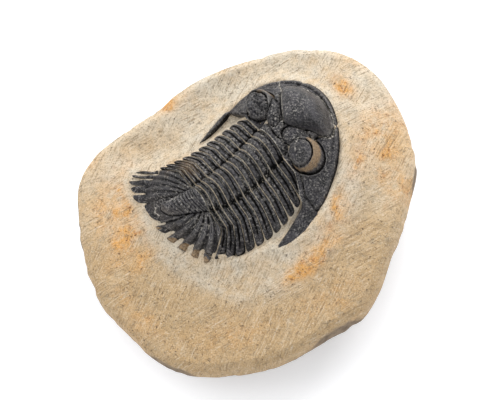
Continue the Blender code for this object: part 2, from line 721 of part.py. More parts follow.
def shell_outline():
    """One simple outline around the whole shell, in the body frame."""
    left = [(30.9, 8.0), (26.6, 14.9), (20.2, 18.9), (10.8, 20.7), (4.0, 20.7), (-3.4, 19.0),
            (-5.2, 17.7), (-12.0, 17.7), (-18.5, 16.8), (-24.0, 15.8), (-27.0, 12.0), (-27.9, 6.0)]
    right = [(30.2, 8.0), (25.8, 14.6), (20.0, 19.3), (10.8, 22.0), (4.0, 23.1), (-1.0, 22.7),
             (-4.6, 21.5), (-5.4, 18.4), (-12.0, 18.4), (-19.0, 18.0), (-22.6, 18.2), (-25.4, 14.0),
             (-27.3, 9.6), (-27.9, 5.0)]
    return [(32.2, 0.0)] + left + [(-27.6, 0.0)] + list(reversed(mirror(right)))


SHELL = shell_outline()


def field(x, y):
    """Height of the slab's own surface away from the fossil."""
    reach = math.hypot(x, y) / max(SLAB_RADII)
    return SLAB_TOP + SLAB_TILT * x - SLAB_CROWN * reach ** 2.5


def slab_height(x, y):
    """The slab's upper surface: bed under the shell, a scraped moat round it, then the field."""
    z = FOSSIL_PLACE[2]
    for _ in range(5):
        a, b, c = body(Vector((x, y, z)))
        z += (bed(a, b) - GAP - c) / UP.z
    a, b, c = body(Vector((x, y, z)))
    away = edge_distance((a, b), SHELL) - POCKET_MARGIN
    share = smooth((away - MOAT_WIDTH) / MOAT_RISE_WIDTH)
    return z + (field(x, y) - z) * share


def slab_radius(angle):
    """Radius of the cobble's outline at a bearing, a smooth curve through the named radii."""
    count = len(SLAB_RADII)
    place = (angle / (2.0 * math.pi) * count) % count
    i = int(place)
    t = place - i
    p0, p1, p2, p3 = (SLAB_RADII[(i + k) % count] for k in (-1, 0, 1, 2))
    return p1 + 0.5 * t * (p2 - p0 + t * (2 * p0 - 5 * p1 + 4 * p2 - p3 + t * (3 * (p1 - p2) + p3 - p0)))


def slab_ring(inset):
    """Points of the slab's outline, moved in by inset, in its own plane."""
    points = []
    for i in range(SLAB_FACETS):
        a = 2.0 * math.pi * i / SLAB_FACETS
        r = slab_radius(a) - inset
        points.append(Vector((r * math.cos(a), r * math.sin(a), 0.0)))
    return points


def build_slab(mat):
    count = SLAB_FACETS
    heights = [slab_height(p.x, p.y) for p in slab_ring(SIDE_PROFILE[0][0])]
    rings = []
    for inset, share in SIDE_PROFILE:
        rings.append([Vector((p.x, p.y, z * share)) for p, z in zip(slab_ring(inset), heights)])
    rim = [(p.x, p.y) for p in rings[0]]
    pocket = [tuple(world(x, y, bed(x, y)).xy) for x, y in offset_outline(POCKET_MARGIN)]
    moat = [tuple(world(x, y, bed(x, y)).xy) for x, y in offset_outline(POCKET_MARGIN + MOAT_WIDTH)]
    grid = [p for p in hex_grid(rim, 3.6, 1.8)
            if abs(edge_distance(p, pocket)) > 1.6 and abs(edge_distance(p, moat)) > 1.6]
    top, top_faces = fill(rim, grid, (pocket, moat))
    points = [Vector((x, y, slab_height(x, y))) for x, y in top]
    for ring in rings[1:]:
        points += ring
    faces = list(top_faces)
    starts = [0] + [len(top) + count * k for k in range(len(rings) - 1)]
    for upper, lower in zip(starts, starts[1:]):
        for i in range(count):
            j = (i + 1) % count
            faces.append((upper + i, lower + i, lower + j, upper + j))
    faces.append(tuple(starts[-1] + i for i in reversed(range(count))))
    return solid("matrix", points, faces, mat)


def offset_outline(distance):
    """The shell's outline moved outwards, by the mean normal at each of its corners."""
    moved = []
    for before, point, after in zip(SHELL[-1:] + SHELL[:-1], SHELL, SHELL[1:] + SHELL[:1]):
        arriving = (Vector(point) - Vector(before)).normalized()
        leaving = (Vector(after) - Vector(point)).normalized()
        along = (arriving + leaving).normalized()
        moved.append((point[0] + distance * along.y, point[1] - distance * along.x))
    return moved


def main():
    for old in list(bpy.data.objects):
        bpy.data.objects.remove(old, do_unlink=True)
    limestone = material("limestone", (0.68, 0.54, 0.38), 0.9)
    shell = material("fossil_shell", (0.022, 0.021, 0.024), 0.42)
    build_slab(limestone)
    build_cephalon(shell)
    for k in range(1, SEGMENTS + 1):
        build_segment(k, shell)
    build_pygidium(shell)


main()
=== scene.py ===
"""Looks of the trilobite fossil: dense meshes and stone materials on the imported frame.

Shapes are worked out in millimetres from the same named sizes as the solids: +x runs to the
fossil's head, +y to the animal's left, +z up from the plane that its shell lies on."""
import math
from functools import reduce

import bpy
import numpy as np
from mathutils import Matrix, Vector, geometry

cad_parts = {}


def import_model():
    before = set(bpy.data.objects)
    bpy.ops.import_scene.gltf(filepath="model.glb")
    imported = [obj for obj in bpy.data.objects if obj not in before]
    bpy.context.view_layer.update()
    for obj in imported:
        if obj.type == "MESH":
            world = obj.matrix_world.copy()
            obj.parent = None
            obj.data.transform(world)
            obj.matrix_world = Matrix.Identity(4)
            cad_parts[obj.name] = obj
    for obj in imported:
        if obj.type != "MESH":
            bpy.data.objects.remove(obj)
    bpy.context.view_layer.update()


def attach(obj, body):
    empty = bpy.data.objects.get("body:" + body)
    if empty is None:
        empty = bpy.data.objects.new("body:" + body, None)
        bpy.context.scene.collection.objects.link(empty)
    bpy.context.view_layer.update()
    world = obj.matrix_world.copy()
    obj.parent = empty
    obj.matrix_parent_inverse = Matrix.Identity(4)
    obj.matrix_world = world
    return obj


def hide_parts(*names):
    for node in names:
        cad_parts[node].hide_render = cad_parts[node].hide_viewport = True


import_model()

MM = 0.001

# how the body lies on the slab
FOSSIL_PLACE = np.array((0.8, 6.1, 26.6))
FOSSIL_YAW = 38.1
FOSSIL_PITCH = 7.15
FOSSIL_ROLL = 9.3
BEND_LENGTH = 30.0
SIDE_BEND = (9.5, -5.8)
SIDE_TURN = (-0.088, 0.02)
TAIL_LIFT = -0.9
TWIST = -0.074
BED_Z = -0.9
BED_CLIMB = 0.0017
BED_SINK = 0.004

# cephalon
HEAD_CENTRE_X = 10.8
HEAD_RADIUS = 20.3
HEAD_SKEW = 0.4
HEAD_NOSE = (1.6, 12.0, 31.0)    # bulge of the front: height, bearing and width in degrees
HEAD_CHEEKS = ((-0.5, 6), (1.1, 30))     # left and right: more radius, and the power of its growth
HEAD_DOME = 7.4
HEAD_DOME_POWER = 2.6
HEAD_FRONT_Z = 1.8
HEAD_SIDE_Z = 0.4
BORDER_WIDTH = 1.5
BORDER_FURROW = (0.6, 0.12)      # its depth in front and at the cheeks
BORDER_FURROW_WIDTH = 0.45
BORDER_ROLL = (0.6, 0.5)         # of the border: height as a share of the furrow's depth, and width
# the left and the right genal spine
GENAL_TIP = ((-3.6, 18.7), (-4.1, 21.3))
GENAL_TIP_WIDTH = (0.4, 1.6)
GENAL_BULGE = (21.3, 24.9)
GENAL_ANGLE = ((9.6, 19.2), (8.4, 17.3))
GENAL_CORNER_Y = (12.9, 17.1)
GENAL_OPENING = 0.9              # width of the wedge of rock behind the left corner
GENAL_RIDGE = (2.0, 2.2)         # height of a spine where it starts, and its fall to the tip
LOBE_CENTRE_X = 25.1
LOBE_CENTRE_Y = -0.3
LOBE_REAR = (6.4, 1.2)           # length, and squareness: its rear is drawn out to a point
LOBE_FRONT = (5.6, 1.85)
LOBE_HALF_WIDTH = 10.2
LOBE_TOP_Z = 12.0
LOBE_FALL = (0.32, 0.004)        # of its crest: forwards, and by the square of y
LOBE_VAULT = (2.6, 0.62)         # powers of its vault
LOBE_FOOT_DEPTH = 0.5
GLABELLA_HALF_WIDTH = 5.6
GLABELLA_SPREAD = 0.62
GLABELLA_SPREAD_X = (0.7, 5.0)   # from the furrow behind it: where it starts to spread, and how long
GLABELLA_RISE = 3.2
GLABELLA_CLIMB = 0.1
GLABELLA_VAULT = (2.4, 0.7)
OCCIPITAL_FURROW_X = 14.8
SIDE_LOBE = (18.5, 5.0)
SIDE_LOBE_RADII = (2.6, 4.5)
SIDE_LOBE_LEAN = 24.0
SIDE_LOBE_TOP_Z = 10.5
SIDE_LOBE_FALL = (2.2, 2.5)      # from its top to its foot, and the power of it
LOBE_FURROW_X = 16.6
EYE_CENTRE = (17.2, 10.2)
EYE_RADII = (4.5, 5.0)
EYE_TOP_Z = 11.6
EYE_LID = 0.75
LID_CENTRE = (16.7, 10.1)        # the lid lies towards the rear of the eye
LID_RADII = (3.4, 3.9)
EYE_FOOT_Z = 5.2
LID_DEPTH = (0.3, 0.75)          # the right and the left lid's middle below the eyes' top
LID_FALL = (1.0, 2.4)            # from its middle to its groove, and the power of it
LID_SLOPE = 0.1                  # down to the midline
LID_ROUGHNESS = (0.15, 0.5)      # of the right and of the damaged left one
LENS_BAND_DEPTH = 1.2            # its upper edge below the eyes' top
LENS_BAND_POWER = 1.6
LENS_BULGE_AT = 0.86             # where the band swells, where the groove and the rim around the eye lie,
EYE_GROOVE_AT = 1.04             # and where its neighbourhood ends, in shares of the eye's radii
EYE_RIM_AT = 1.13
EYE_END = 1.3
# furrows and low ridges of the head: height or depth and half width, in shares of the form around
# which they run for the lobe's, the side lobes' and the eye's
RIM_DROP = (0.5, 0.35)
OCCIPITAL_FURROW = (1.0, 0.42)
SIDE_FURROW = (0.95, 0.34)
AXIAL_FURROW = (0.8, 0.6)
REAR_BORDER_FURROW = (0.6, 0.42)
CRACK_FURROW = (0.3, 0.22)
LOBE_REAR_FURROW = (1.2, 0.08)
LOBE_FURROW = (0.5, 0.06)
SIDE_LOBE_FURROW = (0.5, 0.13)
LENS_BULGE = (0.3, 0.1)
LID_GROOVE = (0.85, 0.07)
EYE_RIM = (0.35, 0.05)

# thorax
SEGMENTS = 11
THORAX_FRONT_X = 12.2
SEGMENT_LENGTH = 2.5
SEGMENT_SHORTENING = 0.45
AXIS_HALF_WIDTH = 5.95
AXIS_TAPER = 1.7
AXIS_RISE = 3.7
FURROW_Z = 6.9
FULCRUM_Y = 10.7
FULCRUM_Z = 6.5
TIP_Z = 0.5
TIP_HALF_WIDTH = (15.4, 17.8)    # at the first segment and at the widest
WIDEST_SEGMENT = 6.0
NARROWING = (1.0, 8.0, 3.0)      # of the tips to the tail: how much, after which seam, over how many
ARCH_POWER = 0.75
PLEURA_SWELL = 0.8
PLEURA_FALL_POWER = 1.3
PLEURA_SLANT = 0.3
SWEEP = (1.3, 0.0395)            # how far tips lie behind: constant, and per segment squared
SWEEP_POWER = 1.3
HEAD_SWEEP = 2.0                 # the head's rear corners are swept this many times as far
RING_ARCH = 1.1
SEGMENT_RELIEF = 0.55            # depth of a segment's front edge below its crest
SEGMENT_PROFILE = ((0.0, 0.3, 0.72, 1.0), (1.0, 0.2, 0.0, 0.55))
RING_RELIEF = 1.5                # the axial rings stand out more than the pleurae
TAIL_AXIS_DROP = 0.7             # the axis is this much lower at the last segment
TIP_ROUNDING = 0.12              # how much wider the seams get at the tips
TIP_ROUNDED = 0.12               # the share of a pleura's outer part that its rounded tip takes
TIP_TAPER = (0.45, 0.2)          # how far the tip's front and rear corners are cut off
# furrows of the thorax: depth and half width
PLEURAL_FURROW = (0.6, 0.2)
HALF_RING_FURROW = (0.5, 0.17)
AXIS_FURROW = (0.35, 0.5)
SEGMENT_EDGE = (0.35, 0.12)

# pygidium
TAIL_END_X = -26.8
# its left side, where the spines are whole, and its right one, where they are broken off
RIB_ANGLE = (23.0, 22.5)
RIB_POWER = (0.7, 0.65)
MARGIN_RADIUS = ((13.5, 1.8), (13.0, 4.3))
TAIL_CORNER_Y = (15.0, 16.4)
# spines from the middle outwards: base x, base y, tip x, tip y, half width
LEFT_SPINES = ((-25.7, 5.3, -27.8, 5.0, 1.35),
               (-24.6, 8.8, -27.2, 8.4, 1.05),
               (-23.8, 11.2, -26.5, 11.3, 0.9),
               (-19.5, 13.05, -24.9, 13.8, 0.5),
               (-18.3, 14.6, -23.5, 15.4, 0.4))
RIGHT_SPINES = ((-24.8, 4.9, -26.9, 5.9, 1.5),
                (-24.1, 8.5, -25.9, 10.0, 1.3),
                (-22.9, 11.5, -24.8, 13.0, 1.3),
                (-21.5, 14.0, -23.3, 15.5, 1.1),
                (-20.2, 15.8, -21.9, 17.4, 0.8))
# a notch of the margin before each spine, and one after the last
LEFT_NOTCHES = ((-25.9, 3.3), (-24.4, 7.3), (-23.8, 10.1), (-19.5, 12.3), (-18.3, 13.8), (-17.6, 15.0))
RIGHT_NOTCHES = ((-25.1, 2.6), (-24.7, 7.2), (-23.6, 10.3), (-22.4, 13.3), (-21.0, 15.3), (-19.6, 16.6))
# calcite that shows where spines are broken: x, y, radius
CALCITE_CORES = ((-26.6, -5.1, 0.5), (-25.2, -9.5, 0.9), (-23.7, -12.3, 1.35), (-22.2, -14.6, 1.35),
                 (-21.3, -16.9, 0.8))
RIB_RELIEF = 0.42
RIB_CURL = 28.0
TAIL_AXIS_LENGTH = 9.8
TAIL_AXIS_RISE = 3.2
TAIL_AXIS_FALL = 0.4
TAIL_STEEPNESS = (3.0, 4.4)
TAIL_MARGIN_Z = 0.9
TAIL_RINGS = 11
TAIL_RING_DEPTH = 0.4
TAIL_AXIS_FURROW = (0.4, 0.5)
TAIL_AXIS_DEPTH = 0.4            # the furrows beside it lie this much below the thorax's
RIB_SPLIT_DEPTH = 0.28
CALCITE_HOLLOW = 0.3
TAIL_VEE = ((-24.1, 1.3), (-25.0, 0.1), (-24.6, -1.3))   # an angular vein of rock behind the axis

# slab
SLAB_RADII = (46.2, 49.2, 50.3, 51.7, 53.0, 52.5, 50.2, 47.0, 44.1, 42.2, 41.0,
              40.0, 40.3, 43.2, 47.4, 49.5, 48.4, 48.4, 48.4, 48.6, 48.0, 49.0,
              49.5, 48.2, 46.8, 45.9, 44.7, 44.5, 46.0, 45.0, 43.8, 44.7)
SLAB_FACETS = 72
SLAB_TOP = 26.0
SLAB_TILT = 0.12
SLAB_CROWN = 3.0
MOAT_WIDTH = 2.4
MOAT_RISE_WIDTH = 11.0
POCKET_MARGIN = 0.9
SIDE_INSETS = (2.4, 0.6, 0.0, 1.6, 5.0, 9.5)
SIDE_SHARES = (1.0, 0.93, 0.74, 0.45, 0.2, 0.0)
# where the weathered crust reaches the upper edge: middle bearing, half width, in degrees
CRUST = ((176.0, 17.0), (244.0, 9.0), (304.0, 13.0), (8.0, 5.0))

# fineness of the meshes, and the angle between faces from which an edge is sharp
SHELL_STEP = 0.24
ROCK_STEP = 0.43
COLUMNS = 190                    # across a thorax segment
ROWS = 15                        # along it
ROCK_COLUMNS = 700               # around the slab's side
ROCK_ROWS = 26                   # down it
SHOULDER_DROP = 0.5              # from a plate's top to the widest line of its edge
HEX_ROW = 0.866                  # rows of a triangular grid, as a share of its step
SHELL_SHARP = 55.0
ROCK_SHARP = 70.0

# the rock next to the shell and under its seams
SEAM = 0.16                      # width of the seams between the plates
SEAM_DUST = 0.15                 # how far the dust in them spreads over the plates' edges
CURVE_STEP = 0.3                 # distance over which furrows and crests are told apart
HOLLOW_GAIN = 1.7
LEFT_TIPS_SHORTER = (1.0, 1.75)  # the rock hides the ends of the left pleurae: first and last
ROCK_UNDER = 0.9                 # how far below the shell's top it lies in the seams
ROCK_UNDER_AXIS = 0.25           # more than that on the axis
ROCK_AT_EDGE = 0.7               # how far below the shell's edge it meets it
ROCK_UNDER_TAIL = 0.6            # more under the tail
ROCK_EDGE_BLEND = 1.3            # over which it rises to the shell's edge
ROCK_APRON = 4.0                 # over which it falls to the scraped floor
ROCK_FLOOR = (0.45, 0.5)         # the scraped floor: share of the bed's height, and depth below that
OCTAVES = 3
OCTAVE_TURN = 0.9                # radians between one octave's grid and the next
OCTAVE_FADE = 0.55


# ---------------------------------------------------------------- small mathematics

def unit(value):
    """The value, kept from 0 to 1."""
    return np.clip(value, 0.0, 1.0)


def smooth(value):
    value = unit(value)
    return value * value * (3.0 - 2.0 * value)


def mix(a, b, share):
    return a + (b - a) * share


def ridge(distance, width):
    return np.exp(-(distance / width) ** 2)


def line(distance, sizes):
    """Height of a furrow or strength of a streak at a distance from its middle, for sizes that
    say its greatest value and its half width."""
    most, width = sizes
    return most * ridge(distance, width)


def strongest(*marks):
    """The greatest of several marks at each point."""
    return reduce(np.maximum, marks)


def lattice(i, j, seed):
    """A repeatable number from -1 to 1 for each whole i and j."""
    n = i * 374761393 + j * 668265263 + seed * 974634777
    n = (n ^ (n >> 13)) * 1274126177
    n = n ^ (n >> 16)
    return (n & 0xFFFF) / 32767.5 - 1.0


def noise(x, y, size, seed):
    """Smooth value noise from -1 to 1 with bumps of about the given size."""
    u, v = x / size, y / size
    i, j = np.floor(u).astype(np.int64), np.floor(v).astype(np.int64)
    s, t = smooth(u - i), smooth(v - j)
    near = mix(lattice(i, j, seed), lattice(i + 1, j, seed), s)
    far = mix(lattice(i, j + 1, seed), lattice(i + 1, j + 1, seed), s)
    return mix(near, far, t)


def rough(x, y, size, seed):
    """Noise of three sizes, each half of the one before."""
    total = 0.0
    for k in range(OCTAVES):
        c, s = math.cos(OCTAVE_TURN * k), math.sin(OCTAVE_TURN * k)
        total = total + noise(x * c - y * s, x * s + y * c, size * 0.5 ** k, seed + k) * OCTAVE_FADE ** k
    return total


def patchy(x, y, size, seed):
    """A share that breaks up dust and wear, around one half."""
    return 0.5 + 0.5 * rough(x, y, size, seed)


def line_distance(x, y, corners):
    """Distance of each point to an open line through these corners."""
    best = np.full(np.shape(x), 1e9)
    for (x0, y0), (x1, y1) in zip(corners, corners[1:]):
        dx, dy = x1 - x0, y1 - y0
        t = unit(((x - x0) * dx + (y - y0) * dy) / max(dx * dx + dy * dy, 1e-9))
        best = np.minimum(best, np.hypot(x - x0 - t * dx, y - y0 - t * dy))
    return best


def inside(x, y, outline):
    """Which points lie inside a closed outline."""
    hit = np.zeros(np.shape(x), bool)
    for (x0, y0), (x1, y1) in zip(outline, np.roll(outline, -1, axis=0)):
        if y0 != y1:
            hit ^= ((y0 > y) != (y1 > y)) & (x < x0 + (y - y0) * (x1 - x0) / (y1 - y0))
    return hit


def edge_distance(x, y, outline):
    """Distance to a closed outline, negative inside it."""
    outline = np.asarray(outline, float)
    closed = np.vstack((outline, outline[:1]))
    distance = line_distance(x, y, closed)
    return np.where(inside(x, y, outline), -distance, distance)


# ---------------------------------------------------------------- body frame and world

def axes():
    """Directions of the body's head, left and top on the slab."""
    yaw, pitch, roll = (math.radians(a) for a in (FOSSIL_YAW, FOSSIL_PITCH, FOSSIL_ROLL))
    ahead = np.array((math.cos(yaw) * math.cos(pitch), math.sin(yaw) * math.cos(pitch), math.sin(pitch)))
    level_left = np.array((-math.sin(yaw), math.cos(yaw), 0.0))
    left = level_left * math.cos(roll) - np.cross(ahead, level_left) * math.sin(roll)
    return ahead, left, np.cross(ahead, left)


AHEAD, LEFT, UP = axes()


def slab_radius(angle):
    """Radius of the cobble's outline at a bearing, a smooth curve through the named radii."""
    count = len(SLAB_RADII)
    radii = np.array(SLAB_RADII)
    place = np.mod(angle / (2.0 * math.pi) * count, count)
    i = np.floor(place).astype(int)
    t = place - i
    p0, p1, p2, p3 = (radii[(i + k) % count] for k in (-1, 0, 1, 2))
    return p1 + 0.5 * t * (p2 - p0 + t * (2 * p0 - 5 * p1 + 4 * p2 - p3 + t * (3 * (p1 - p2) + p3 - p0)))


def slab_middle():
    """Middle of the cobble's outline, on which the part is centred."""
    angles = np.linspace(0.0, 2.0 * math.pi, SLAB_FACETS, endpoint=False)
    ring = slab_radius(angles) * np.array((np.cos(angles), np.sin(angles)))
    return np.append(0.5 * (ring.min(axis=1) + ring.max(axis=1)), 0.0)


MIDDLE = slab_middle()


def bend(x, y, z):
    """Gives the straight body its curve to one side, its drooping tail and its twist."""
    t = x / BEND_LENGTH
    turned = x + y * (SIDE_TURN[0] * t + SIDE_TURN[1] * t * t)
    moved = y + SIDE_BEND[0] * t * t + SIDE_BEND[1] * t ** 3
    return turned, moved, z + TAIL_LIFT * t ** 3 + TWIST * y * t


def unbend(turned, moved, lifted):
    x, y = turned, moved
    for _ in range(12):
        t = x / BEND_LENGTH
        y = moved - SIDE_BEND[0] * t * t - SIDE_BEND[1] * t ** 3
        x = turned - y * (SIDE_TURN[0] * t + SIDE_TURN[1] * t * t)
    t = x / BEND_LENGTH
    return x, y, lifted - TAIL_LIFT * t ** 3 - TWIST * y * t


def world(x, y, z):
    """Body coordinates to points on the slab, as rows, before the slab is centred."""
    a, b, c = bend(x, y, z)
    return FOSSIL_PLACE + np.outer(a, AHEAD) + np.outer(b, LEFT) + np.outer(c, UP)


def body(points):
    """The other way round: rows of points to body coordinates."""
    offset = points - FOSSIL_PLACE
    return unbend(offset @ AHEAD, offset @ LEFT, offset @ UP)


def bed(x, y):
    """Underside of the shell, on which it lies."""
    return BED_Z + BED_CLIMB * np.maximum(x, 0.0) ** 2 - BED_SINK * y * y


# ---------------------------------------------------------------- seams and section of the body

def seam_x(i):
    """Where seam i crosses the furrows beside the axis; seam 0 is behind the head."""
    x = THORAX_FRONT_X
    for k in range(1, i + 1):
        x -= SEGMENT_LENGTH * (1.0 - SEGMENT_SHORTENING * (k / SEGMENTS) ** 5)
    return x


def axis_half_width(i):
    return AXIS_HALF_WIDTH - AXIS_TAPER * (i / SEGMENTS) ** 3.5


def tip_half_width(i):
    first, widest = TIP_HALF_WIDTH
    less, start, over = NARROWING
    ahead = (widest - first) * (1.0 - unit(i / WIDEST_SEGMENT)) ** 2
    return widest - ahead - less * unit((i - start) / over) ** 2


def vault(share, power):
    """Height of an arch from 1 in its middle to 0 at its foot, where the share is 1."""
    return (1.0 - np.minimum(share, 1.0) ** 2) ** power


def axis_rise(i):
    return AXIS_RISE - TAIL_AXIS_DROP * (i / SEGMENTS) ** 3


def seam(i, y):
    """The seam's x at a distance y from the midline."""
    width = axis_half_width(i)
    y = np.abs(y)
    ring = seam_x(i) + RING_ARCH * vault(y / width, 1.0)
    reach = np.clip((y - FULCRUM_Y) / (tip_half_width(i) - FULCRUM_Y), 0.0, 1.4)
    behind = (SWEEP[0] + SWEEP[1] * (i + 0.5) ** 2) * (HEAD_SWEEP if i == 0 else 1.0)
    slant = PLEURA_SLANT * unit((y - width) / (FULCRUM_Y - width))
    return ring - slant - behind * reach ** SWEEP_POWER


def section(y, width, rise, tip):
    """Height of the shell across the body: arched axis, furrow, flat inner and sloping outer part."""
    y = np.abs(y)
    arch = FURROW_Z + rise * vault(y / width, ARCH_POWER)
    t = unit((y - width) / (FULCRUM_Y - width))
    inner = FURROW_Z + (FULCRUM_Z - FURROW_Z) * t + PLEURA_SWELL * t * (1.0 - t)
    t = np.clip((y - FULCRUM_Y) / (tip - FULCRUM_Y), 0.0, 1.1)
    outer = FULCRUM_Z - (FULCRUM_Z - TIP_Z) * t ** PLEURA_FALL_POWER
    return np.where(y < width, arch, np.where(y < FULCRUM_Y, inner, outer))


# ---------------------------------------------------------------- mesh helpers

def add_object(name, data):
    thing = bpy.data.objects.new(name, data)
    bpy.context.scene.collection.objects.link(thing)
    return thing


def add_piece(name, points, faces, marks, mat, sharp):
    """A mesh piece that stands for the CAD node of the same name.  Marks are numbers at its
    vertices that its material reads, such as how much rock dust lies there."""
    mesh = bpy.data.meshes.new(name)
    mesh.from_pydata(((points - MIDDLE) * MM).tolist(), [], faces)
    mesh.materials.append(mat)
    for mark, values in marks.items():
        layer = mesh.attributes.new(mark, "FLOAT", "POINT")
        layer.data.foreach_set("value", np.asarray(values, np.float32))
    mesh.shade_smooth()
    mesh.set_sharp_from_angle(angle=math.radians(sharp))
    piece = add_object(f"{name}_stone", mesh)
    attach(piece, "root")
    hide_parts(name)


def densify(outline, step):
    """The same closed outline with a point at least every step."""
    outline = np.asarray(outline, float)
    dense = []
    for here, there in zip(outline, np.roll(outline, -1, axis=0)):
        count = max(1, math.ceil(np.hypot(*(there - here)) / step))
        dense += [mix(here, there, k / count) for k in range(count)]
    return np.array(dense)


def rounded(outline, passes):
    """Corners cut off, as often as said."""
    outline = np.asarray(outline, float)
    for _ in range(passes):
        there = np.roll(outline, -1, axis=0)
        pairs = np.stack((mix(outline, there, 0.25), mix(outline, there, 0.75)), axis=1)
        outline = pairs.reshape(-1, 2)
    return outline


def hex_points(outline, step):
    """A triangular grid inside an outline, half a step clear of it."""
    low, high = outline.min(axis=0), outline.max(axis=0)
    rows = np.arange(low[1], high[1], step * HEX_ROW)
    columns = np.arange(low[0], high[0], step)
    x = (columns[None, :] + 0.5 * step * (np.arange(len(rows)) % 2)[:, None]).ravel()
    y = np.repeat(rows, len(columns))
    keep = inside(x, y, outline)
    x, y = x[keep], y[keep]
    keep = edge_distance(x, y, outline) < -0.5 * step
    return np.column_stack((x[keep], y[keep]))


def triangles(outline, inner=()):
    """Delaunay triangles of a closed outline and the points inside it."""
    points = [Vector(p) for p in outline] + [Vector(p) for p in inner]
    count = len(outline)
    edges = [(i, (i + 1) % count) for i in range(count)]
    _, _, faces, origins, _, _ = geometry.delaunay_2d_cdt(points, edges, [], 1, 1e-7)
    first = [min(o) for o in origins]
    return [tuple(first[v] for v in face) for face in faces]


def wall(first, second, count):
    """Quads between two closed rings of vertices, the first above the second."""
    return [(first + i, second + i, second + (i + 1) % count, first + (i + 1) % count)
            for i in range(count)]


def hollow_mark(surface, x, y, height):
    """0 on crests, 0.5 on even ground and 1 in furrows of an upper face; the shell's colour paints
    highlights on the crests and shade in the furrows from it.
    """
    around = sum(surface(x + dx, y + dy)[0] for dx, dy in ((CURVE_STEP, 0.0), (-CURVE_STEP, 0.0),
                                                           (0.0, CURVE_STEP), (0.0, -CURVE_STEP)))
    return unit(0.5 + HOLLOW_GAIN * (0.25 * around - height))


def plate(name, outline, surface, mat):
    """A closed plate of shell: its upper face is surface(x, y), its underside the bed."""
    outline = densify(outline, SHELL_STEP)
    inner = hex_points(outline, SHELL_STEP)
    flat = np.vstack((outline, inner))
    height, marks = surface(flat[:, 0], flat[:, 1])
    marks["hollow"] = hollow_mark(surface, flat[:, 0], flat[:, 1], height)
    count = len(outline)
    under = bed(outline[:, 0], outline[:, 1])
    shoulder = np.maximum(height[:count] - SHOULDER_DROP, mix(under, height[:count], 0.5))
    points = np.vstack((world(flat[:, 0], flat[:, 1], height),
                        world(outline[:, 0], outline[:, 1], shoulder),
                        world(outline[:, 0], outline[:, 1], under)))
    top = len(flat)
    faces = triangles(outline, inner) + wall(0, top, count) + wall(top, top + count, count)
    faces += [tuple(top + count + v for v in reversed(face)) for face in triangles(outline)]
    marks = {mark: np.concatenate((v, v[:count], v[:count])) for mark, v in marks.items()}
    add_piece(name, points, faces, marks, mat, SHELL_SHARP)


# ---------------------------------------------------------------- cephalon

def radius_at(bearing):
    """Radius of the head shield's edge, from straight ahead (0) to the left."""
    size, middle, width = HEAD_NOSE
    nose = size * ridge(np.degrees(bearing) - middle, width)
    left, right = (more * np.abs(np.sin(bearing)) ** power for more, power in HEAD_CHEEKS)
    return HEAD_RADIUS + HEAD_SKEW * np.sin(2.0 * bearing) + nose + np.where(bearing > 0.0, left, right)


def head_base(x, y):
    """Vaulted cheek surface under the eyes and the glabella, with its rim and border furrow."""
    ahead = np.maximum(x - HEAD_CENTRE_X, 0.0)
    distance = np.hypot(ahead, y)
    radius = radius_at(np.arctan2(y, ahead))
    reach = unit(distance / radius)
    front = (ahead / np.maximum(distance, 1e-6)) ** 2
    edge = radius * (1.0 - reach)
    z = mix(HEAD_SIDE_Z, HEAD_FRONT_Z, front) + HEAD_DOME * (1.0 - reach ** HEAD_DOME_POWER)
    at_front, at_side = BORDER_FURROW
    furrow = mix(at_side, at_front, front)
    z = z - furrow * ridge(edge - BORDER_WIDTH, BORDER_FURROW_WIDTH)
    z = z + furrow * line(edge - 0.5 * BORDER_WIDTH, BORDER_ROLL)
    return z - line(edge, RIM_DROP)


def lobe_radius(x, y):
    """1 on the furrow around the frontal lobe, less inside it."""
    ahead = x > LOBE_CENTRE_X
    length, squareness = (np.where(ahead, front, rear) for front, rear in zip(LOBE_FRONT, LOBE_REAR))
    u = np.abs(x - LOBE_CENTRE_X) / length
    v = np.abs(y - LOBE_CENTRE_Y) / LOBE_HALF_WIDTH
    return (u ** squareness + v ** squareness) ** (1.0 / squareness)


def side_lobe(x, y):
    """1 at the foot of the swelling beside the ridge, less on it."""
    dx, dy = x - SIDE_LOBE[0], np.abs(y) - SIDE_LOBE[1]
    c, s = math.cos(math.radians(SIDE_LOBE_LEAN)), math.sin(math.radians(SIDE_LOBE_LEAN))
    return np.hypot((dx * c - dy * s) / SIDE_LOBE_RADII[0], (dx * s + dy * c) / SIDE_LOBE_RADII[1])


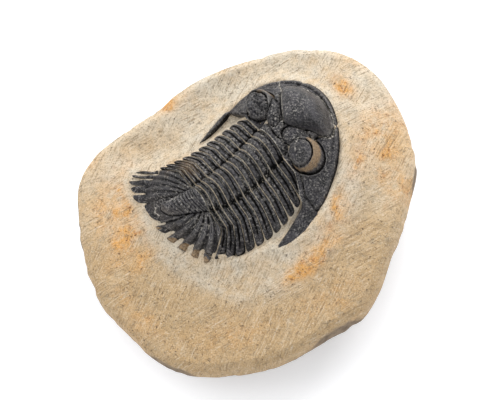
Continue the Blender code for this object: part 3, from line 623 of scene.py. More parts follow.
def glabella(x, y, z):
    """The frontal lobe, and behind it the narrower ridge with its side lobes and furrows."""
    q = lobe_radius(x, y)
    foot = head_base(x, y) - LOBE_FOOT_DEPTH
    fall, side_fall = LOBE_FALL
    crest = LOBE_TOP_Z - fall * (x - LOBE_CENTRE_X) - side_fall * y * y
    power, bluntness = LOBE_VAULT
    lobe = np.maximum(foot, foot + (crest - foot) * (1.0 - np.minimum(q, 1.0) ** power) ** bluntness)
    ahead = x - OCCIPITAL_FURROW_X
    start, length = GLABELLA_SPREAD_X
    width = GLABELLA_HALF_WIDTH + GLABELLA_SPREAD * np.clip(ahead - start, 0.0, length)
    v = np.minimum(np.abs(y) / width, 1.0)
    power, bluntness = GLABELLA_VAULT
    back = FURROW_Z + GLABELLA_CLIMB * ahead + GLABELLA_RISE * (1.0 - v ** power) ** bluntness
    back = back - line(ahead - 0.5 * v, OCCIPITAL_FURROW) - line(q - 1.0, LOBE_REAR_FURROW)
    # a furrow on either side that runs forwards and fades towards the midline
    back = back - smooth(1.7 * v - 0.35) * line(x - LOBE_FURROW_X - 0.9 * (v - 0.6), SIDE_FURROW)
    w = side_lobe(x, y)
    back = back - line(w - 1.0, SIDE_LOBE_FURROW)
    beside = z - line(np.abs(y) - width, AXIAL_FURROW) - line(q - 1.0, LOBE_FURROW)
    behind = np.where((np.abs(y) < width) & (x < LOBE_CENTRE_X - 2.0), back, beside)
    fall, power = SIDE_LOBE_FALL
    behind = np.where(w < 1.0, SIDE_LOBE_TOP_Z - fall * w ** power, behind)
    return np.where(q < 1.0, lobe, behind)


def eye_place(x, y):
    """Distance from the eye's middle (1 at its foot), from the lid's middle (1 at its groove),
    and how far to the outside a point lies."""
    dx = (x - EYE_CENTRE[0]) / EYE_RADII[0]
    dy = (np.abs(y) - EYE_CENTRE[1]) / EYE_RADII[1]
    r = np.hypot(dx, dy)
    lid = np.hypot((x - LID_CENTRE[0]) / LID_RADII[0], (np.abs(y) - LID_CENTRE[1]) / LID_RADII[1])
    return r, lid, smooth(((dy + 0.1 * dx) / np.maximum(r, 1e-6) + 0.45) / 0.4)


def eye(x, y, z):
    """A broad lid that slopes to the middle, and outside a groove the steep band of lenses."""
    r, lid, outer = eye_place(x, y)
    left = smooth(y)
    fall, power = LID_FALL
    inwards = np.maximum(EYE_CENTRE[1] - np.abs(y), 0.0)
    top = EYE_TOP_Z - mix(*LID_DEPTH, left) - fall * lid ** power - LID_SLOPE * inwards
    top = top + mix(*LID_ROUGHNESS, left) * rough(x, y, 1.3, 31)
    upper = EYE_TOP_Z - LENS_BAND_DEPTH
    down = np.clip((r - EYE_LID) / (1.0 - EYE_LID), 0.0, 2.0) ** LENS_BAND_POWER
    band = upper - (upper - EYE_FOOT_Z) * down + outer * line(r - LENS_BULGE_AT, LENS_BULGE)
    form = np.where(lid < 1.0, top, np.minimum(band, upper - 0.05))
    form = form - outer * line(lid - 1.0, LID_GROOVE)
    rim = line(r - EYE_RIM_AT, EYE_RIM) - line(r - EYE_GROOVE_AT, EYE_RIM)
    around = z - 0.5 * unit(2.2 - 1.6 * r) + rim * outer
    return np.where(r > EYE_END, z, np.maximum(form, around))


def genal_edge(side, t):
    """Outer edge of a genal spine (side 0 is the left one), t from the cheek to the tip: x, y."""
    tip_x, tip_y = GENAL_TIP[side]
    wide = radius_at((0.5 - side) * math.pi)
    end = tip_y + 0.5 * GENAL_TIP_WIDTH[side]
    y = wide * (1.0 - t) ** 2 + 2.0 * GENAL_BULGE[side] * t * (1.0 - t) + end * t * t
    return mix(HEAD_CENTRE_X, tip_x, t), y


def genal_spine(x, y, side):
    """Rounded top of the spine that each rear corner of the head shield is drawn out to."""
    (angle_x, angle_y), (tip_x, tip_y) = GENAL_ANGLE[side], GENAL_TIP[side]
    outer = genal_edge(side, unit((HEAD_CENTRE_X - x) / (HEAD_CENTRE_X - tip_x)))[1]
    t = unit((angle_x - x) / (angle_x - tip_x))
    inner = mix(angle_y, tip_y - 0.5 * GENAL_TIP_WIDTH[side], t)
    out = np.abs(y) - inner
    v = unit(np.abs(out / np.maximum(outer - inner, 0.1) * 2.0 - 1.0))
    height, fall = GENAL_RIDGE
    return height - fall * t - (1.2 - 0.4 * t) * v * v - 0.4 * out * (1.0 - t)


# pale veins of rock across the head: a crack over the border, and the arch over a side lobe
CRACK = ((26.2, 14.6), (25.2, 12.6), (24.4, 9.6), (23.5, 6.9),
         (22.4, 4.9), (20.9, 2.6), (20.0, 1.8), (18.6, 0.6))
SIDE_LOBE_ARCH = ((18.4, -1.1), (20.1, -3.0), (21.2, -5.6), (21.6, -8.4), (21.2, -9.7))
# brown lenses laid bare on the damaged left eye, and a vein beside each eye
LEFT_LENSES = ((19.3, 12.6), (20.6, 11.7), (21.5, 10.2), (21.7, 8.8))
EYE_CRACK = ((15.8, 9.4), (17.4, 7.6), (19.6, 6.4), (21.6, 6.2))
# the dust in them and along the furrows: strength and half width
CRACK_DUST = (0.95, 0.17)
ARCH_DUST = (0.9, 0.14)
EYE_CRACK_DUST = ((0.7, 0.12), (0.7, 0.1))
LOBE_DUST = (0.95, 0.17)
REAR_BORDER_DUST = (0.75, 0.14)
OCCIPITAL_DUST = (0.4, 0.2)
LEFT_LENS_BAND = (0.55, 0.55)


def cephalon_dust(x, y):
    """Rock dust in the veins, the furrows and the seam behind the head."""
    broken = patchy(x, y, 1.6, 5)
    behind = x - seam(0, y)
    flank = smooth((np.abs(y) - axis_half_width(0)) / 0.8)
    # the furrow around the lobe's front, with its width measured across it
    lobe = line((lobe_radius(x, y) - 1.02) * 7.0, LOBE_DUST) * smooth((x - LOBE_CENTRE_X + 4.0) / 3.0)
    veins = (line(line_distance(x, side * y, EYE_CRACK), dust)
             for side, dust in zip((1, -1), EYE_CRACK_DUST))
    return strongest(
        line(line_distance(x, y, CRACK), CRACK_DUST),
        line(line_distance(x, y, SIDE_LOBE_ARCH), ARCH_DUST) * broken,
        strongest(*veins) * broken,
        lobe * (0.55 + 0.45 * broken),
        ridge(behind - 0.5 * SEAM, SEAM_DUST) * (y < 12.8) * (y > -17.6),
        flank * line(behind - 1.75, REAR_BORDER_DUST) * broken * (np.abs(y) < 17.0),
        line(x - OCCIPITAL_FURROW_X - 0.5, OCCIPITAL_DUST) * broken * (np.abs(y) < 5.0))


def cephalon_surface(x, y):
    """Height of the head's shell, and marks for its material."""
    z = eye(x, y, glabella(x, y, head_base(x, y)))
    flank = smooth((np.abs(y) - axis_half_width(0)) / 0.8)
    z = z - flank * line(x - seam(0, y) - 1.7, REAR_BORDER_FURROW)
    for side in (0, 1):
        outwards = y * (1 - 2 * side)
        on_spine = smooth((outwards - 16.0) / 0.6) * smooth((GENAL_ANGLE[side][0] + 1.0 - x) / 3.0)
        z = mix(z, genal_spine(x, y, side), on_spine)
    q = lobe_radius(x, y)
    r, lid, outer = eye_place(x, y)
    # the middle behind the lobe is the roughest, the lobe itself the smoothest
    centre = ridge(np.hypot(x - 16.0, 0.8 * y), 7.0)
    z = z + np.where(q > 1.0, mix(0.1, 0.24, centre), 0.05) * rough(x, y, 0.55, 11)
    z = z + 0.12 * unit(noise(x, y, 0.75, 17) - 0.25) * (q > 1.0) * (r > 1.0)
    z = z - line(line_distance(x, y, CRACK), CRACK_FURROW)
    lenses = outer * smooth((lid - 1.05) / 0.06) * smooth((0.99 - r) / 0.04) * (y < 0.0)
    bared = line(line_distance(x, y, LEFT_LENSES) + 0.3 * rough(x, y, 1.2, 35), LEFT_LENS_BAND)
    spot = ridge(np.hypot(x - 13.6, 0.4 * (y + 20.3)), 0.6) * smooth(noise(x, y, 0.9, 3) / 0.3)
    broken = patchy(x, y, 1.6, 5)
    wear = unit(0.35 + 0.9 * centre * broken + 0.2 * broken)
    on_lobe = 0.1 + 0.55 * smooth((8.0 - np.hypot(x - 24.0, y - 1.5)) / 6.0)
    return z, {"dust": cephalon_dust(x, y), "tint": np.maximum(lenses + bared, 0.6 * spot),
               "wear": np.where(q < 0.96, on_lobe, wear)}


def genal_outline(side):
    """One side from the widest place of the head back to the spine's tip and in along the seam."""
    angle_x, angle_y = GENAL_ANGLE[side]
    tip_x, tip_y = GENAL_TIP[side]
    width = GENAL_TIP_WIDTH[side]
    outer = np.column_stack(genal_edge(side, np.linspace(0.06, 0.97, 24)))
    tip = ((tip_x - 0.1, tip_y + 0.25 * width), (tip_x, tip_y - 0.2 * width))
    t = np.array((0.04, 0.2, 0.4, 0.6, 0.8, 0.97))
    inner = np.column_stack((mix(tip_x, angle_x, t), mix(tip_y - 0.5 * width, angle_y, t)))
    y = np.linspace(GENAL_CORNER_Y[side], 0.0, 90)
    opening = smooth((y - GENAL_CORNER_Y[side] + 1.5) / 1.5) * GENAL_OPENING * (1 - side)
    rear = np.column_stack((seam(0, y) + 0.5 * SEAM + opening, y))
    return np.vstack((outer, tip, inner, rear))


def cephalon_outline():
    """The front from the right cheek to the left one, then the left rear and the right one."""
    bearings = np.radians(np.linspace(-90.0, 90.0, 180))
    radii = radius_at(bearings)
    front = np.column_stack((HEAD_CENTRE_X + radii * np.cos(bearings), radii * np.sin(bearings)))
    return np.vstack((front, genal_outline(0), (genal_outline(1) * (1.0, -1.0))[-2::-1]))


# ---------------------------------------------------------------- thorax

def segment_edges(k, y, end):
    """x of a segment's front and rear edge at each column, with its tips rounded off."""
    apart = 0.5 * SEAM + TIP_ROUNDING * smooth((end - 0.55) / 0.45)
    front, rear = seam(k - 1, y) - apart, seam(k, y) + apart
    taper = 1.0 - np.sqrt(1.0 - unit((end - 1.0 + TIP_ROUNDED) / TIP_ROUNDED) ** 2)
    at_front, at_rear = (share * taper * (front - rear) for share in TIP_TAPER)
    return front - at_front, rear + at_rear


def segment_surface(k, x, y, share, length, end):
    """Height of a segment's shell, and marks for its material: share runs from its front edge to
    its rear one over its length, end from the bend of a pleura to its tip."""
    width, tip = axis_half_width(k - 0.5), tip_half_width(k - 0.5)
    on_axis = smooth((width - np.abs(y)) / 0.5)
    relief = SEGMENT_RELIEF * mix(1.0, RING_RELIEF, on_axis)
    even = section(y, width, axis_rise(k), tip) - relief * np.interp(share, *SEGMENT_PROFILE)
    # a furrow crosses each pleura from its inner front to the middle of its tip
    run = unit((np.abs(y) - width) / (tip - width))
    pleura = (share - mix(0.38, 0.5, run)) * length
    z = even - (1.0 - on_axis) * smooth((1.0 - run) / 0.3) * line(pleura, PLEURAL_FURROW)
    # and one parts each ring from the half ring that slides under the plate in front
    half_ring = (share - mix(0.3, 0.45, k / SEGMENTS)) * length + 0.12 * rough(x, y, 2.2, 140 + k)
    z = z - on_axis * line(half_ring, HALF_RING_FURROW)
    furrow = np.abs(y) - width
    edge = np.minimum(share, 1.0 - share) * length
    z = z - line(furrow, AXIS_FURROW) - line(edge, SEGMENT_EDGE)
    z = z + 0.09 * rough(x, y, 0.6, 40 + k) + 0.14 * unit(noise(x, y, 0.8, 60 + k))
    broken = patchy(x, y, 3.6, 80 + k)
    # the seams hold most dust at the axis and least at the free tips
    finger = smooth((end - 0.3) / 0.5)
    filled = mix(mix(0.75, 0.1, finger), 1.0, ridge(furrow, 3.2)) * (0.5 + 0.6 * broken)
    dust = strongest(ridge(edge, SEAM_DUST) * filled,
                     0.55 * (1.0 - on_axis) * ridge(pleura, 0.1) * broken * (1.0 - finger),
                     mix(0.45, 0.95, k / SEGMENTS) * on_axis * ridge(half_ring, 0.12) * broken,
                     0.5 * ridge(furrow, 0.2) * broken)
    brown = ridge(np.hypot(x + 10.0, 0.7 * (y - 11.8)), 3.2) * (0.5 + 0.5 * broken)
    return z, {"dust": dust, "tint": 0.62 * brown,
               "wear": unit(0.3 + 0.45 * broken + 0.4 * (y > 3.0)),
               "hollow": unit(0.5 + 1.6 * (even - z))}


def build_segment(k, mat):
    """One segment of the thorax: its shell from pleura to pleura, closed down to the bed."""
    tip = tip_half_width(k - 0.5)
    turn = np.linspace(-0.5 * math.pi, 0.5 * math.pi, COLUMNS)
    y = mix(np.sin(turn), np.linspace(-1.0, 1.0, COLUMNS), 0.7)
    reach = np.where(y > 0.0, tip - mix(*LEFT_TIPS_SHORTER, k / SEGMENTS), tip)
    y = y * reach
    end = unit((np.abs(y) - FULCRUM_Y) / (reach - FULCRUM_Y))
    front, rear = segment_edges(k, y, end)
    share = 0.5 - 0.5 * np.cos(np.linspace(0.0, math.pi, ROWS))
    share = mix(share, np.linspace(0.0, 1.0, ROWS), 0.4)[None, :]
    x = front[:, None] + (rear - front)[:, None] * share
    across = np.repeat(y[:, None], ROWS, axis=1)
    z, marks = segment_surface(k, x, across, share, (front - rear)[:, None], end[:, None])
    upper = world(x.ravel(), across.ravel(), z.ravel()).reshape(COLUMNS, ROWS, 3)
    lower = [world(edge, y, bed(edge, y))[:, None] for edge in (rear, front)]
    points = np.concatenate((upper, *lower), axis=1)
    around = ROWS + 2
    faces = []
    for start in range(0, (COLUMNS - 1) * around, around):
        for r in range(around):
            a, b = start + r, start + (r + 1) % around
            faces.append((a, a + around, b + around, b))
    faces.append(tuple(range(around)))
    faces.append(tuple((COLUMNS - 1) * around + r for r in reversed(range(around))))
    marks = {mark: np.concatenate((v, v[:, -1:], v[:, :1]), axis=1).ravel() for mark, v in marks.items()}
    points = points.reshape(-1, 3)
    add_piece(f"thorax_segment_{k:02d}", points, faces, marks, mat, SHELL_SHARP)


# ---------------------------------------------------------------- pygidium

def left_share(y):
    """1 on the left side, 0 on the right one."""
    return smooth(y / 3.0 + 0.5)


def tail_margin(angle, y):
    """Distance of the notches from the middle of the tail shield's front edge."""
    grow = np.maximum((angle - 14.0) / 52.0, 0.0) ** 1.5
    left, right = (radius + more * grow for radius, more in MARGIN_RADIUS)
    return mix(right, left, left_share(y))


def spine(base_x, base_y, tip_x, tip_y, half):
    """Outline of one spine, inner side first."""
    base, along = np.array((base_x, base_y)), np.array((tip_x - base_x, tip_y - base_y))
    across = np.array((along[1], -along[0])) * half / np.hypot(*along)
    sides = ((1.0, 0.1), (0.97, 0.55), (0.8, 0.85), (0.35, 1.0))
    sides = [(-side, reach) for side, reach in sides] + list(reversed(sides))
    return [tuple(base + along * reach + across * side) for side, reach in sides]


def tail_half(spines, notches, corner_y):
    """One side of the tail shield's outline, mirrored to the left, from its middle to its front."""
    half = [(TAIL_END_X, 0.0), (TAIL_END_X + 0.1, notches[0][1] - 0.7), notches[0]]
    for sizes, after in zip(spines, notches[1:]):
        half += spine(*sizes)
        half.append(after)
    margin = rounded(half, 2)[:-4]
    y = np.linspace(corner_y, 0.0, 80)
    end = unit((y - FULCRUM_Y) / (tip_half_width(SEGMENTS) - FULCRUM_Y))
    return np.vstack((margin, np.column_stack((seam(SEGMENTS, y) - 0.5 * SEAM - 0.3 * end, y))))


def pygidium_outline():
    """Closed outline of the tail shield, with its broken margin."""
    left = tail_half(LEFT_SPINES, LEFT_NOTCHES, TAIL_CORNER_Y[0])
    right = tail_half(RIGHT_SPINES, RIGHT_NOTCHES, TAIL_CORNER_Y[1])
    return np.vstack((left[::-1], (right * (1.0, -1.0))[:-1]))


def tail_axis(x, y):
    """1 on the furrow around the tail's axis, less inside it; how far along it is, and its
    half width and height there."""
    along = np.clip((seam_x(SEGMENTS) - x) / TAIL_AXIS_LENGTH, 0.0, 1.3)
    width = axis_half_width(SEGMENTS) * (1.0 - 0.5 * along)
    v = np.hypot(np.abs(y) / width, np.maximum(along - 0.85, 0.0) / 0.22)
    return v, along, width, (TAIL_AXIS_RISE - TAIL_AXIS_FALL * along) * vault(v, 0.7)


def tail_polar(x, y):
    """Reach (1 at the notches), rib number and bearing of a point of the tail shield."""
    back = seam_x(SEGMENTS) - x
    angle = np.degrees(np.arctan2(np.abs(y), np.maximum(back, 0.0)))
    reach = np.hypot(back, y) / tail_margin(angle, y)
    curl = RIB_CURL * (1.0 - np.minimum(reach, 1.0)) * smooth(angle / 25.0)
    bearing = np.maximum(angle - curl, 0.0)
    left, right = ((bearing / first) ** (1.0 / power) for first, power in zip(RIB_ANGLE, RIB_POWER))
    return reach, np.where(y > 0.0, left, right), angle


def tail_base(x, y):
    """The tail shield without its axis and ribs."""
    reach, _, angle = tail_polar(x, y)
    steep = mix(*TAIL_STEEPNESS, smooth(angle / 85.0))
    height = FURROW_Z - TAIL_AXIS_DEPTH - TAIL_MARGIN_Z
    z = TAIL_MARGIN_Z + height * (1.0 - np.minimum(reach, 1.0) ** steep)
    return z - 1.8 * np.maximum(reach - 1.0, 0.0)


def calcite(x, y):
    """1 where a broken spine shows its calcite core."""
    core = np.zeros(np.shape(x))
    for core_x, core_y, radius in CALCITE_CORES:
        away = np.hypot(x - core_x, y - core_y) + 0.3 * noise(x, y, 0.7, 29)
        core = np.maximum(core, smooth((radius - away) / 0.25 + 0.5))
    return core


def pygidium_surface(x, y):
    """Height of the tail shield's shell, and marks for its material."""
    reach, rib, _ = tail_polar(x, y)
    ribbed = smooth((reach - 0.16) / 0.25) * (rib > 0.5)
    wave = np.cos(2.0 * math.pi * rib)
    right = y < 0.0
    relief = RIB_RELIEF * (1.0 + 0.9 * right * smooth((reach - 0.55) / 0.3))
    z = tail_base(x, y) + relief * np.sign(wave) * np.abs(wave) ** 0.8 * ribbed
    # a fainter furrow runs down each rib, and fades towards the margin
    split = ridge(rib - np.round(rib), 0.08) * smooth((0.95 - reach) / 0.4)
    z = z - RIB_SPLIT_DEPTH * split * ribbed
    v, along, width, raised = tail_axis(x, y)
    turns = along ** 0.8 * TAIL_RINGS - 0.8 * vault(v, 1.0)
    rings = ridge(turns - np.round(turns), 0.16) * smooth((1.05 - along) / 0.3)
    on_axis = v < 1.0
    worn_end = smooth((along - 0.55) / 0.35)
    raised = raised + 0.45 * worn_end * rough(x, y, 1.1, 27)
    raised = raised - TAIL_RING_DEPTH * rings * (1.0 - 0.7 * worn_end)
    z = z + np.where(on_axis, raised, -line((v - 1.0) * width, TAIL_AXIS_FURROW))
    core = calcite(x, y)
    z = z + 0.05 * rough(x, y, 0.6, 21) - core * (CALCITE_HOLLOW + 0.15 * noise(x, y, 0.5, 23))
    z = np.maximum(z, bed(x, y) + 0.8)
    broken = patchy(x, y, 1.7, 25)
    seam_line = ridge(seam(SEGMENTS, y) - x - 0.5 * SEAM, SEAM_DUST) * smooth((11.0 - np.abs(y)) / 4.0)
    valley = ridge(rib - np.floor(rib) - 0.5, 0.09) * (rib > 0.5)
    lines = np.maximum(valley, 0.7 * split) * smooth((0.85 - reach) / 0.3) * (reach > 0.22) * (v > 1.0)
    dust = strongest(seam_line * (0.4 + 0.6 * broken),
                     0.7 * on_axis * rings * broken * (1.0 - worn_end),
                     0.8 * lines * broken,
                     0.9 * ridge(line_distance(x, y, TAIL_VEE), 0.16))
    brown = ridge(np.hypot(x + 15.5, 0.8 * (y - 12.0)), 2.6) * broken
    worn = ridge(np.hypot(x + 19.0, y - 1.5), 3.0)
    return z, {"dust": dust, "tint": np.maximum(core, 0.4 * brown),
               "wear": unit(0.35 + 0.5 * broken + 0.5 * worn)}


# ---------------------------------------------------------------- slab

# outline of the whole shell, its left side and its right one, to which the rock rises
SHELL_LEFT = ((32.2, 0.0), (30.9, 8.0), (26.6, 14.9), (20.2, 18.9), (10.8, 20.7), (4.0, 20.7), (-3.4, 19.0),
              (-5.2, 17.7), (-12.0, 17.7), (-18.5, 16.8), (-24.0, 15.8), (-27.0, 12.0), (-27.9, 6.0),
              (-27.6, 0.0))
SHELL_RIGHT = ((30.2, 8.0), (25.8, 14.6), (20.0, 19.3), (10.8, 22.0), (4.0, 23.1), (-1.0, 22.7),
               (-4.6, 21.5), (-5.4, 18.4), (-12.0, 18.4), (-19.0, 18.0), (-22.6, 18.2), (-25.4, 14.0),
               (-27.3, 9.6), (-27.9, 5.0))
SHELL = np.vstack((SHELL_LEFT, (np.array(SHELL_RIGHT) * (1.0, -1.0))[::-1]))

# crest around the scraped hollow, in the slab's plane: x, y
SCRAPED_CREST = ((-24.0, -13.0), (-16.0, -19.5), (-8.5, -23.4), (-1.3, -26.4), (9.0, -24.5), (24.2, -14.2))
CREST_RISE = (0.55, 2.2)         # its height and half width
# iron stains: place, half widths, bearing of the longer axis, strength
STAINS = ((-36.5, 4.0, 8.0, 5.0, 70.0, 1.0), (-33.5, -8.0, 7.0, 3.6, 55.0, 0.95),
          (-29.5, -15.0, 4.5, 2.2, 50.0, 0.5), (28.0, 33.0, 4.2, 2.2, -55.0, 0.9),
          (38.5, 17.0, 8.5, 5.5, 80.0, 0.75), (42.5, 3.5, 6.0, 3.4, 85.0, 0.6),
          (25.5, -3.0, 6.0, 3.4, 70.0, 0.75), (20.5, -15.5, 8.0, 2.8, 40.0, 0.85),
          (16.0, -20.5, 5.0, 2.0, 30.0, 0.7), (-21.0, 31.0, 4.5, 1.8, 30.0, 0.7),
          (-44.0, 16.5, 3.2, 1.6, 50.0, 0.95), (-5.0, -37.0, 11.0, 5.0, 10.0, 0.3),
          (31.0, 41.0, 6.0, 1.5, -30.0, 0.6), (24.5, -28.0, 9.0, 4.5, 30.0, 0.3),
          (31.0, 10.0, 5.0, 2.6, 80.0, 0.45), (-30.0, -30.0, 9.0, 3.0, -45.0, 0.35))
PAINTED_LIGHT_BELOW_TAIL = (8.0, -22.0, 12.0, 5.0, 20.0, 0.9)   # a painted pool of light below the tail, where the slope faces away from the key light, given the same way


def spread(x, y, place):
    """How strongly a stain at a place reaches each point."""
    px, py, along, across, bearing, strength = place
    c, s = math.cos(math.radians(bearing)), math.sin(math.radians(bearing))
    u = ((x - px) * c + (y - py) * s) / along
    v = ((y - py) * c - (x - px) * s) / across
    return strength * np.exp(-(u * u + v * v))


def dorsal(x, y):
    """The shell's top without its finer relief."""
    edges = np.array([seam_x(i) for i in range(SEGMENTS + 1)])
    k = np.interp(-x, -edges, np.arange(SEGMENTS + 1))
    thorax = section(y, axis_half_width(k), axis_rise(k), tip_half_width(k))
    tail = tail_base(x, y) + tail_axis(x, y)[-1]
    height = mix(tail, thorax, smooth(x - seam(SEGMENTS, y) + 0.5))
    return mix(height, np.minimum(head_base(x, y), thorax + 0.5), smooth(x - seam(0, y) + 0.5))


def rock_body_height(x, y, away):
    """Body height of the rock under the shell, in its seams and against its edge."""
    on_axis = smooth((AXIS_HALF_WIDTH + 0.3 - np.abs(y)) / 1.0) * (x < THORAX_FRONT_X + 2.0)
    under_tail = smooth((-16.0 - x) / 2.0)
    under = dorsal(x, y) - ROCK_UNDER - ROCK_UNDER_AXIS * on_axis - ROCK_UNDER_TAIL * under_tail
    edge = mix(HEAD_SIDE_Z, HEAD_FRONT_Z, smooth((x - 14.0) / 16.0)) - ROCK_AT_EDGE
    between_spines = smooth((tail_polar(x, y)[0] - 0.85) / 0.12) * (x < seam_x(SEGMENTS) - 2.0)
    under = mix(under, tail_base(x, y) - 0.5, between_spines)
    near = mix(under, edge, smooth((away + ROCK_EDGE_BLEND) / ROCK_EDGE_BLEND))
    share, depth = ROCK_FLOOR
    return mix(near, share * bed(x, y) - depth, smooth(away / ROCK_APRON))


def field(x, y):
    """Height of the slab's top away from the fossil."""
    reach = np.hypot(x, y) / max(SLAB_RADII)
    return SLAB_TOP + SLAB_TILT * x - SLAB_CROWN * reach ** 2.5


def rock_marks(x, y, away, crest):
    """Where the rock is scraped pale, paler towards +y with a painted pool of light below the tail, stained
    with iron, and tan towards -y.
    """
    # paler towards +y, plus a painted pool of light below the tail
    paler_top_and_painted_light = 0.9 * smooth((y - 14.0) / 18.0) + spread(x, y, PAINTED_LIGHT_BELOW_TAIL)
    scraped_and_lit = strongest(smooth((13.0 - away) / 11.0) * (0.75 + 0.35 * rough(x, y, 6.0, 111)),
                       0.8 * ridge(crest, 2.0),
                       paler_top_and_painted_light * (0.8 + 0.3 * rough(x, y, 4.0, 117)))
    stain = sum(spread(x, y, place) for place in STAINS)
    stain = stain * (0.75 + 0.5 * rough(x, y, 3.0, 113)) * smooth(away / 2.5)
    # tan that grows towards -y and away from the fossil
    tan = smooth((24.0 - y + 3.0 * rough(x, y, 12.0, 115)) / 50.0) * smooth(away / 8.0)
    return {"scraped_and_lit": unit(scraped_and_lit), "stain": unit(stain), "tan": tan}


def rock_top(x, y):
    """Height of the slab's upper surface, and marks for its material."""
    z = np.full(x.shape, FOSSIL_PLACE[2])
    for _ in range(6):
        a, b, c = body(np.column_stack((x, y, z)))
        away = edge_distance(a, b, SHELL)
        z = z + (rock_body_height(a, b, away) - c) / UP[2]
    z = mix(z, field(x, y), smooth((away - POCKET_MARGIN - MOAT_WIDTH) / MOAT_RISE_WIDTH))
    crest = line_distance(x, y, SCRAPED_CREST)
    pits = sum(unit(noise(x, y, size, seed) - least)
               for size, seed, least in ((1.1, 107, 0.72), (0.8, 109, 0.8)))
    uneven = 0.22 * rough(x, y, 7.0, 101) + 0.09 * rough(x, y, 1.6, 103) - 1.3 * pits
    z = z + (line(crest, CREST_RISE) + uneven) * smooth((away - 0.4) / 1.2)
    return z, rock_marks(x, y, away, crest)


def slab_layer(radius, c, s):
    return np.column_stack((radius * c, radius * s))


def build_slab(mat):
    """The cobble: its top as a fine grid, and its side as rings down to the flat underside."""
    angles = np.linspace(0.0, 2.0 * math.pi, ROCK_COLUMNS, endpoint=False)
    c, s = np.cos(angles), np.sin(angles)
    chips = 0.55 * np.clip(rough(40.0 * c, 40.0 * s, 5.0, 121), 0.0, 1.5)
    radius = slab_radius(angles) - 0.08 - chips
    rim = slab_layer(radius - SIDE_INSETS[0], c, s)
    inner = hex_points(rim, ROCK_STEP)
    flat = np.vstack((rim, inner))
    height, marks = rock_top(flat[:, 0], flat[:, 1])
    marks["side"] = np.zeros(len(flat))
    crust = sum(ridge(np.degrees(np.angle(np.exp(1j * (angles - math.radians(middle))))), half)
                for middle, half in CRUST)
    crust_starts = 1.9 - 0.9 * smooth(1.6 * crust + 0.25 * rough(30.0 * c, 30.0 * s, 4.0, 123) - 0.3)
    layers = [np.column_stack((flat, height))]
    knots = np.arange(len(SIDE_INSETS))
    for step in np.linspace(0.0, len(SIDE_INSETS) - 1.0, ROCK_ROWS + 1)[1:]:
        inset, share = (np.interp(step, knots, values) for values in (SIDE_INSETS, SIDE_SHARES))
        bumps = rough(30.0 * angles, np.full(ROCK_COLUMNS, 18.0 * share), 3.5, 131)
        dents = 0.5 * np.clip(bumps + 0.5, 0.0, 2.0)
        r = radius - inset - dents * smooth(share * 6.0) * smooth(step - 2.0)
        layers.append(np.column_stack((slab_layer(r, c, s), height[:ROCK_COLUMNS] * share)))
        marks["side"] = np.append(marks["side"], smooth((step - crust_starts) / 0.4))
        for mark in ("scraped_and_lit", "stain", "tan"):
            marks[mark] = np.append(marks[mark], marks[mark][:ROCK_COLUMNS] * smooth(3.0 - step))
    faces = triangles(rim, inner)
    starts = [0] + [len(flat) + ROCK_COLUMNS * k for k in range(ROCK_ROWS)]
    for upper, lower in zip(starts, starts[1:]):
        faces += wall(upper, lower, ROCK_COLUMNS)
    faces.append(tuple(starts[-1] + i for i in reversed(range(ROCK_COLUMNS))))
    add_piece("matrix", np.vstack(layers), faces, marks, mat, ROCK_SHARP)


# ---------------------------------------------------------------- materials

class Nodes:
    """Short calls for building a material's nodes."""

    def __init__(self, name):
        self.material = bpy.data.materials.new(name)
        self.material.use_nodes = True
        self.tree = self.material.node_tree
        self.shader = self.tree.nodes["Principled BSDF"]
        self.place = self.tree.nodes.new("ShaderNodeTexCoord").outputs["Object"]

    def put(self, socket, value):
        """Links another node's output to a socket, or sets its value."""
        if isinstance(value, bpy.types.NodeSocket):
            self.tree.links.new(value, socket)
        else:
            socket.default_value = value

    def add(self, kind, inputs, **settings):
        """The outputs of a new node with these settings and these inputs."""
        node = self.tree.nodes.new(f"ShaderNode{kind}")
        for name, value in settings.items():
            setattr(node, name, value)
        for name, value in inputs.items():
            self.put(node.inputs[name], value)
        return node.outputs

    def mark(self, name):
        """One of the numbers stored at the mesh's vertices."""
        return self.add("Attribute", {}, attribute_name=name)["Fac"]

    def math(self, operation, a, b, clamp=False):
        return self.add("Math", {0: a, 1: b}, operation=operation, use_clamp=clamp)[0]

    def times(self, a, b, clamp=False):
        return self.math("MULTIPLY", a, b, clamp)

    def mapped(self, turn=0.0, stretch=(1.0, 1.0, 1.0)):
        """Places in millimetres, turned about Z and stretched."""
        inputs = {"Rotation": (0.0, 0.0, math.radians(turn)), "Scale": [MM * s for s in stretch],
                  "Vector": self.place}
        return self.add("Mapping", inputs, vector_type="TEXTURE")[0]

    def noise(self, size, detail=3.0, where=None, roughness=0.55):
        """Clouds of about a size in millimetres."""
        inputs = {"Scale": 1.0 / size, "Detail": detail, "Roughness": roughness,
                  "Vector": where or self.mapped()}
        return self.add("TexNoise", inputs)["Fac"]

    def between(self, value, low, high, to_low=0.0, to_high=1.0):
        """The value, carried from one range over to another and kept in it."""
        inputs = {"From Min": low, "From Max": high, "To Min": to_low, "To Max": to_high, "Value": value}
        return self.add("MapRange", inputs)["Result"]

    def blend(self, share, a, b):
        """The first colour where the share is 0, the second one where it is 1."""
        a, b = (colour if isinstance(colour, bpy.types.NodeSocket) else (*colour, 1.0) for colour in (a, b))
        return self.add("Mix", {0: share, 6: a, 7: b}, data_type="RGBA")[2]

    def layered(self, colour, layers):
        """Colours laid over a colour one after the other, each where a value goes from low to
        high, with its greatest share."""
        for value, low, high, share, over in layers:
            colour = self.blend(self.between(value, low, high, 0.0, share), colour, over)
        return colour

    def bump(self, height, strength, distance, below=None):
        """Relief of a depth in millimetres, on top of the one below."""
        inputs = {"Strength": strength, "Distance": distance * MM, "Height": height}
        if below is not None:
            inputs["Normal"] = below
        return self.add("Bump", inputs)[0]

    def finish(self, colour, roughness, normal):
        self.put(self.shader.inputs["Base Color"], colour)
        self.put(self.shader.inputs["Roughness"], roughness)
        self.put(self.shader.inputs["Normal"], normal)
        return self.material


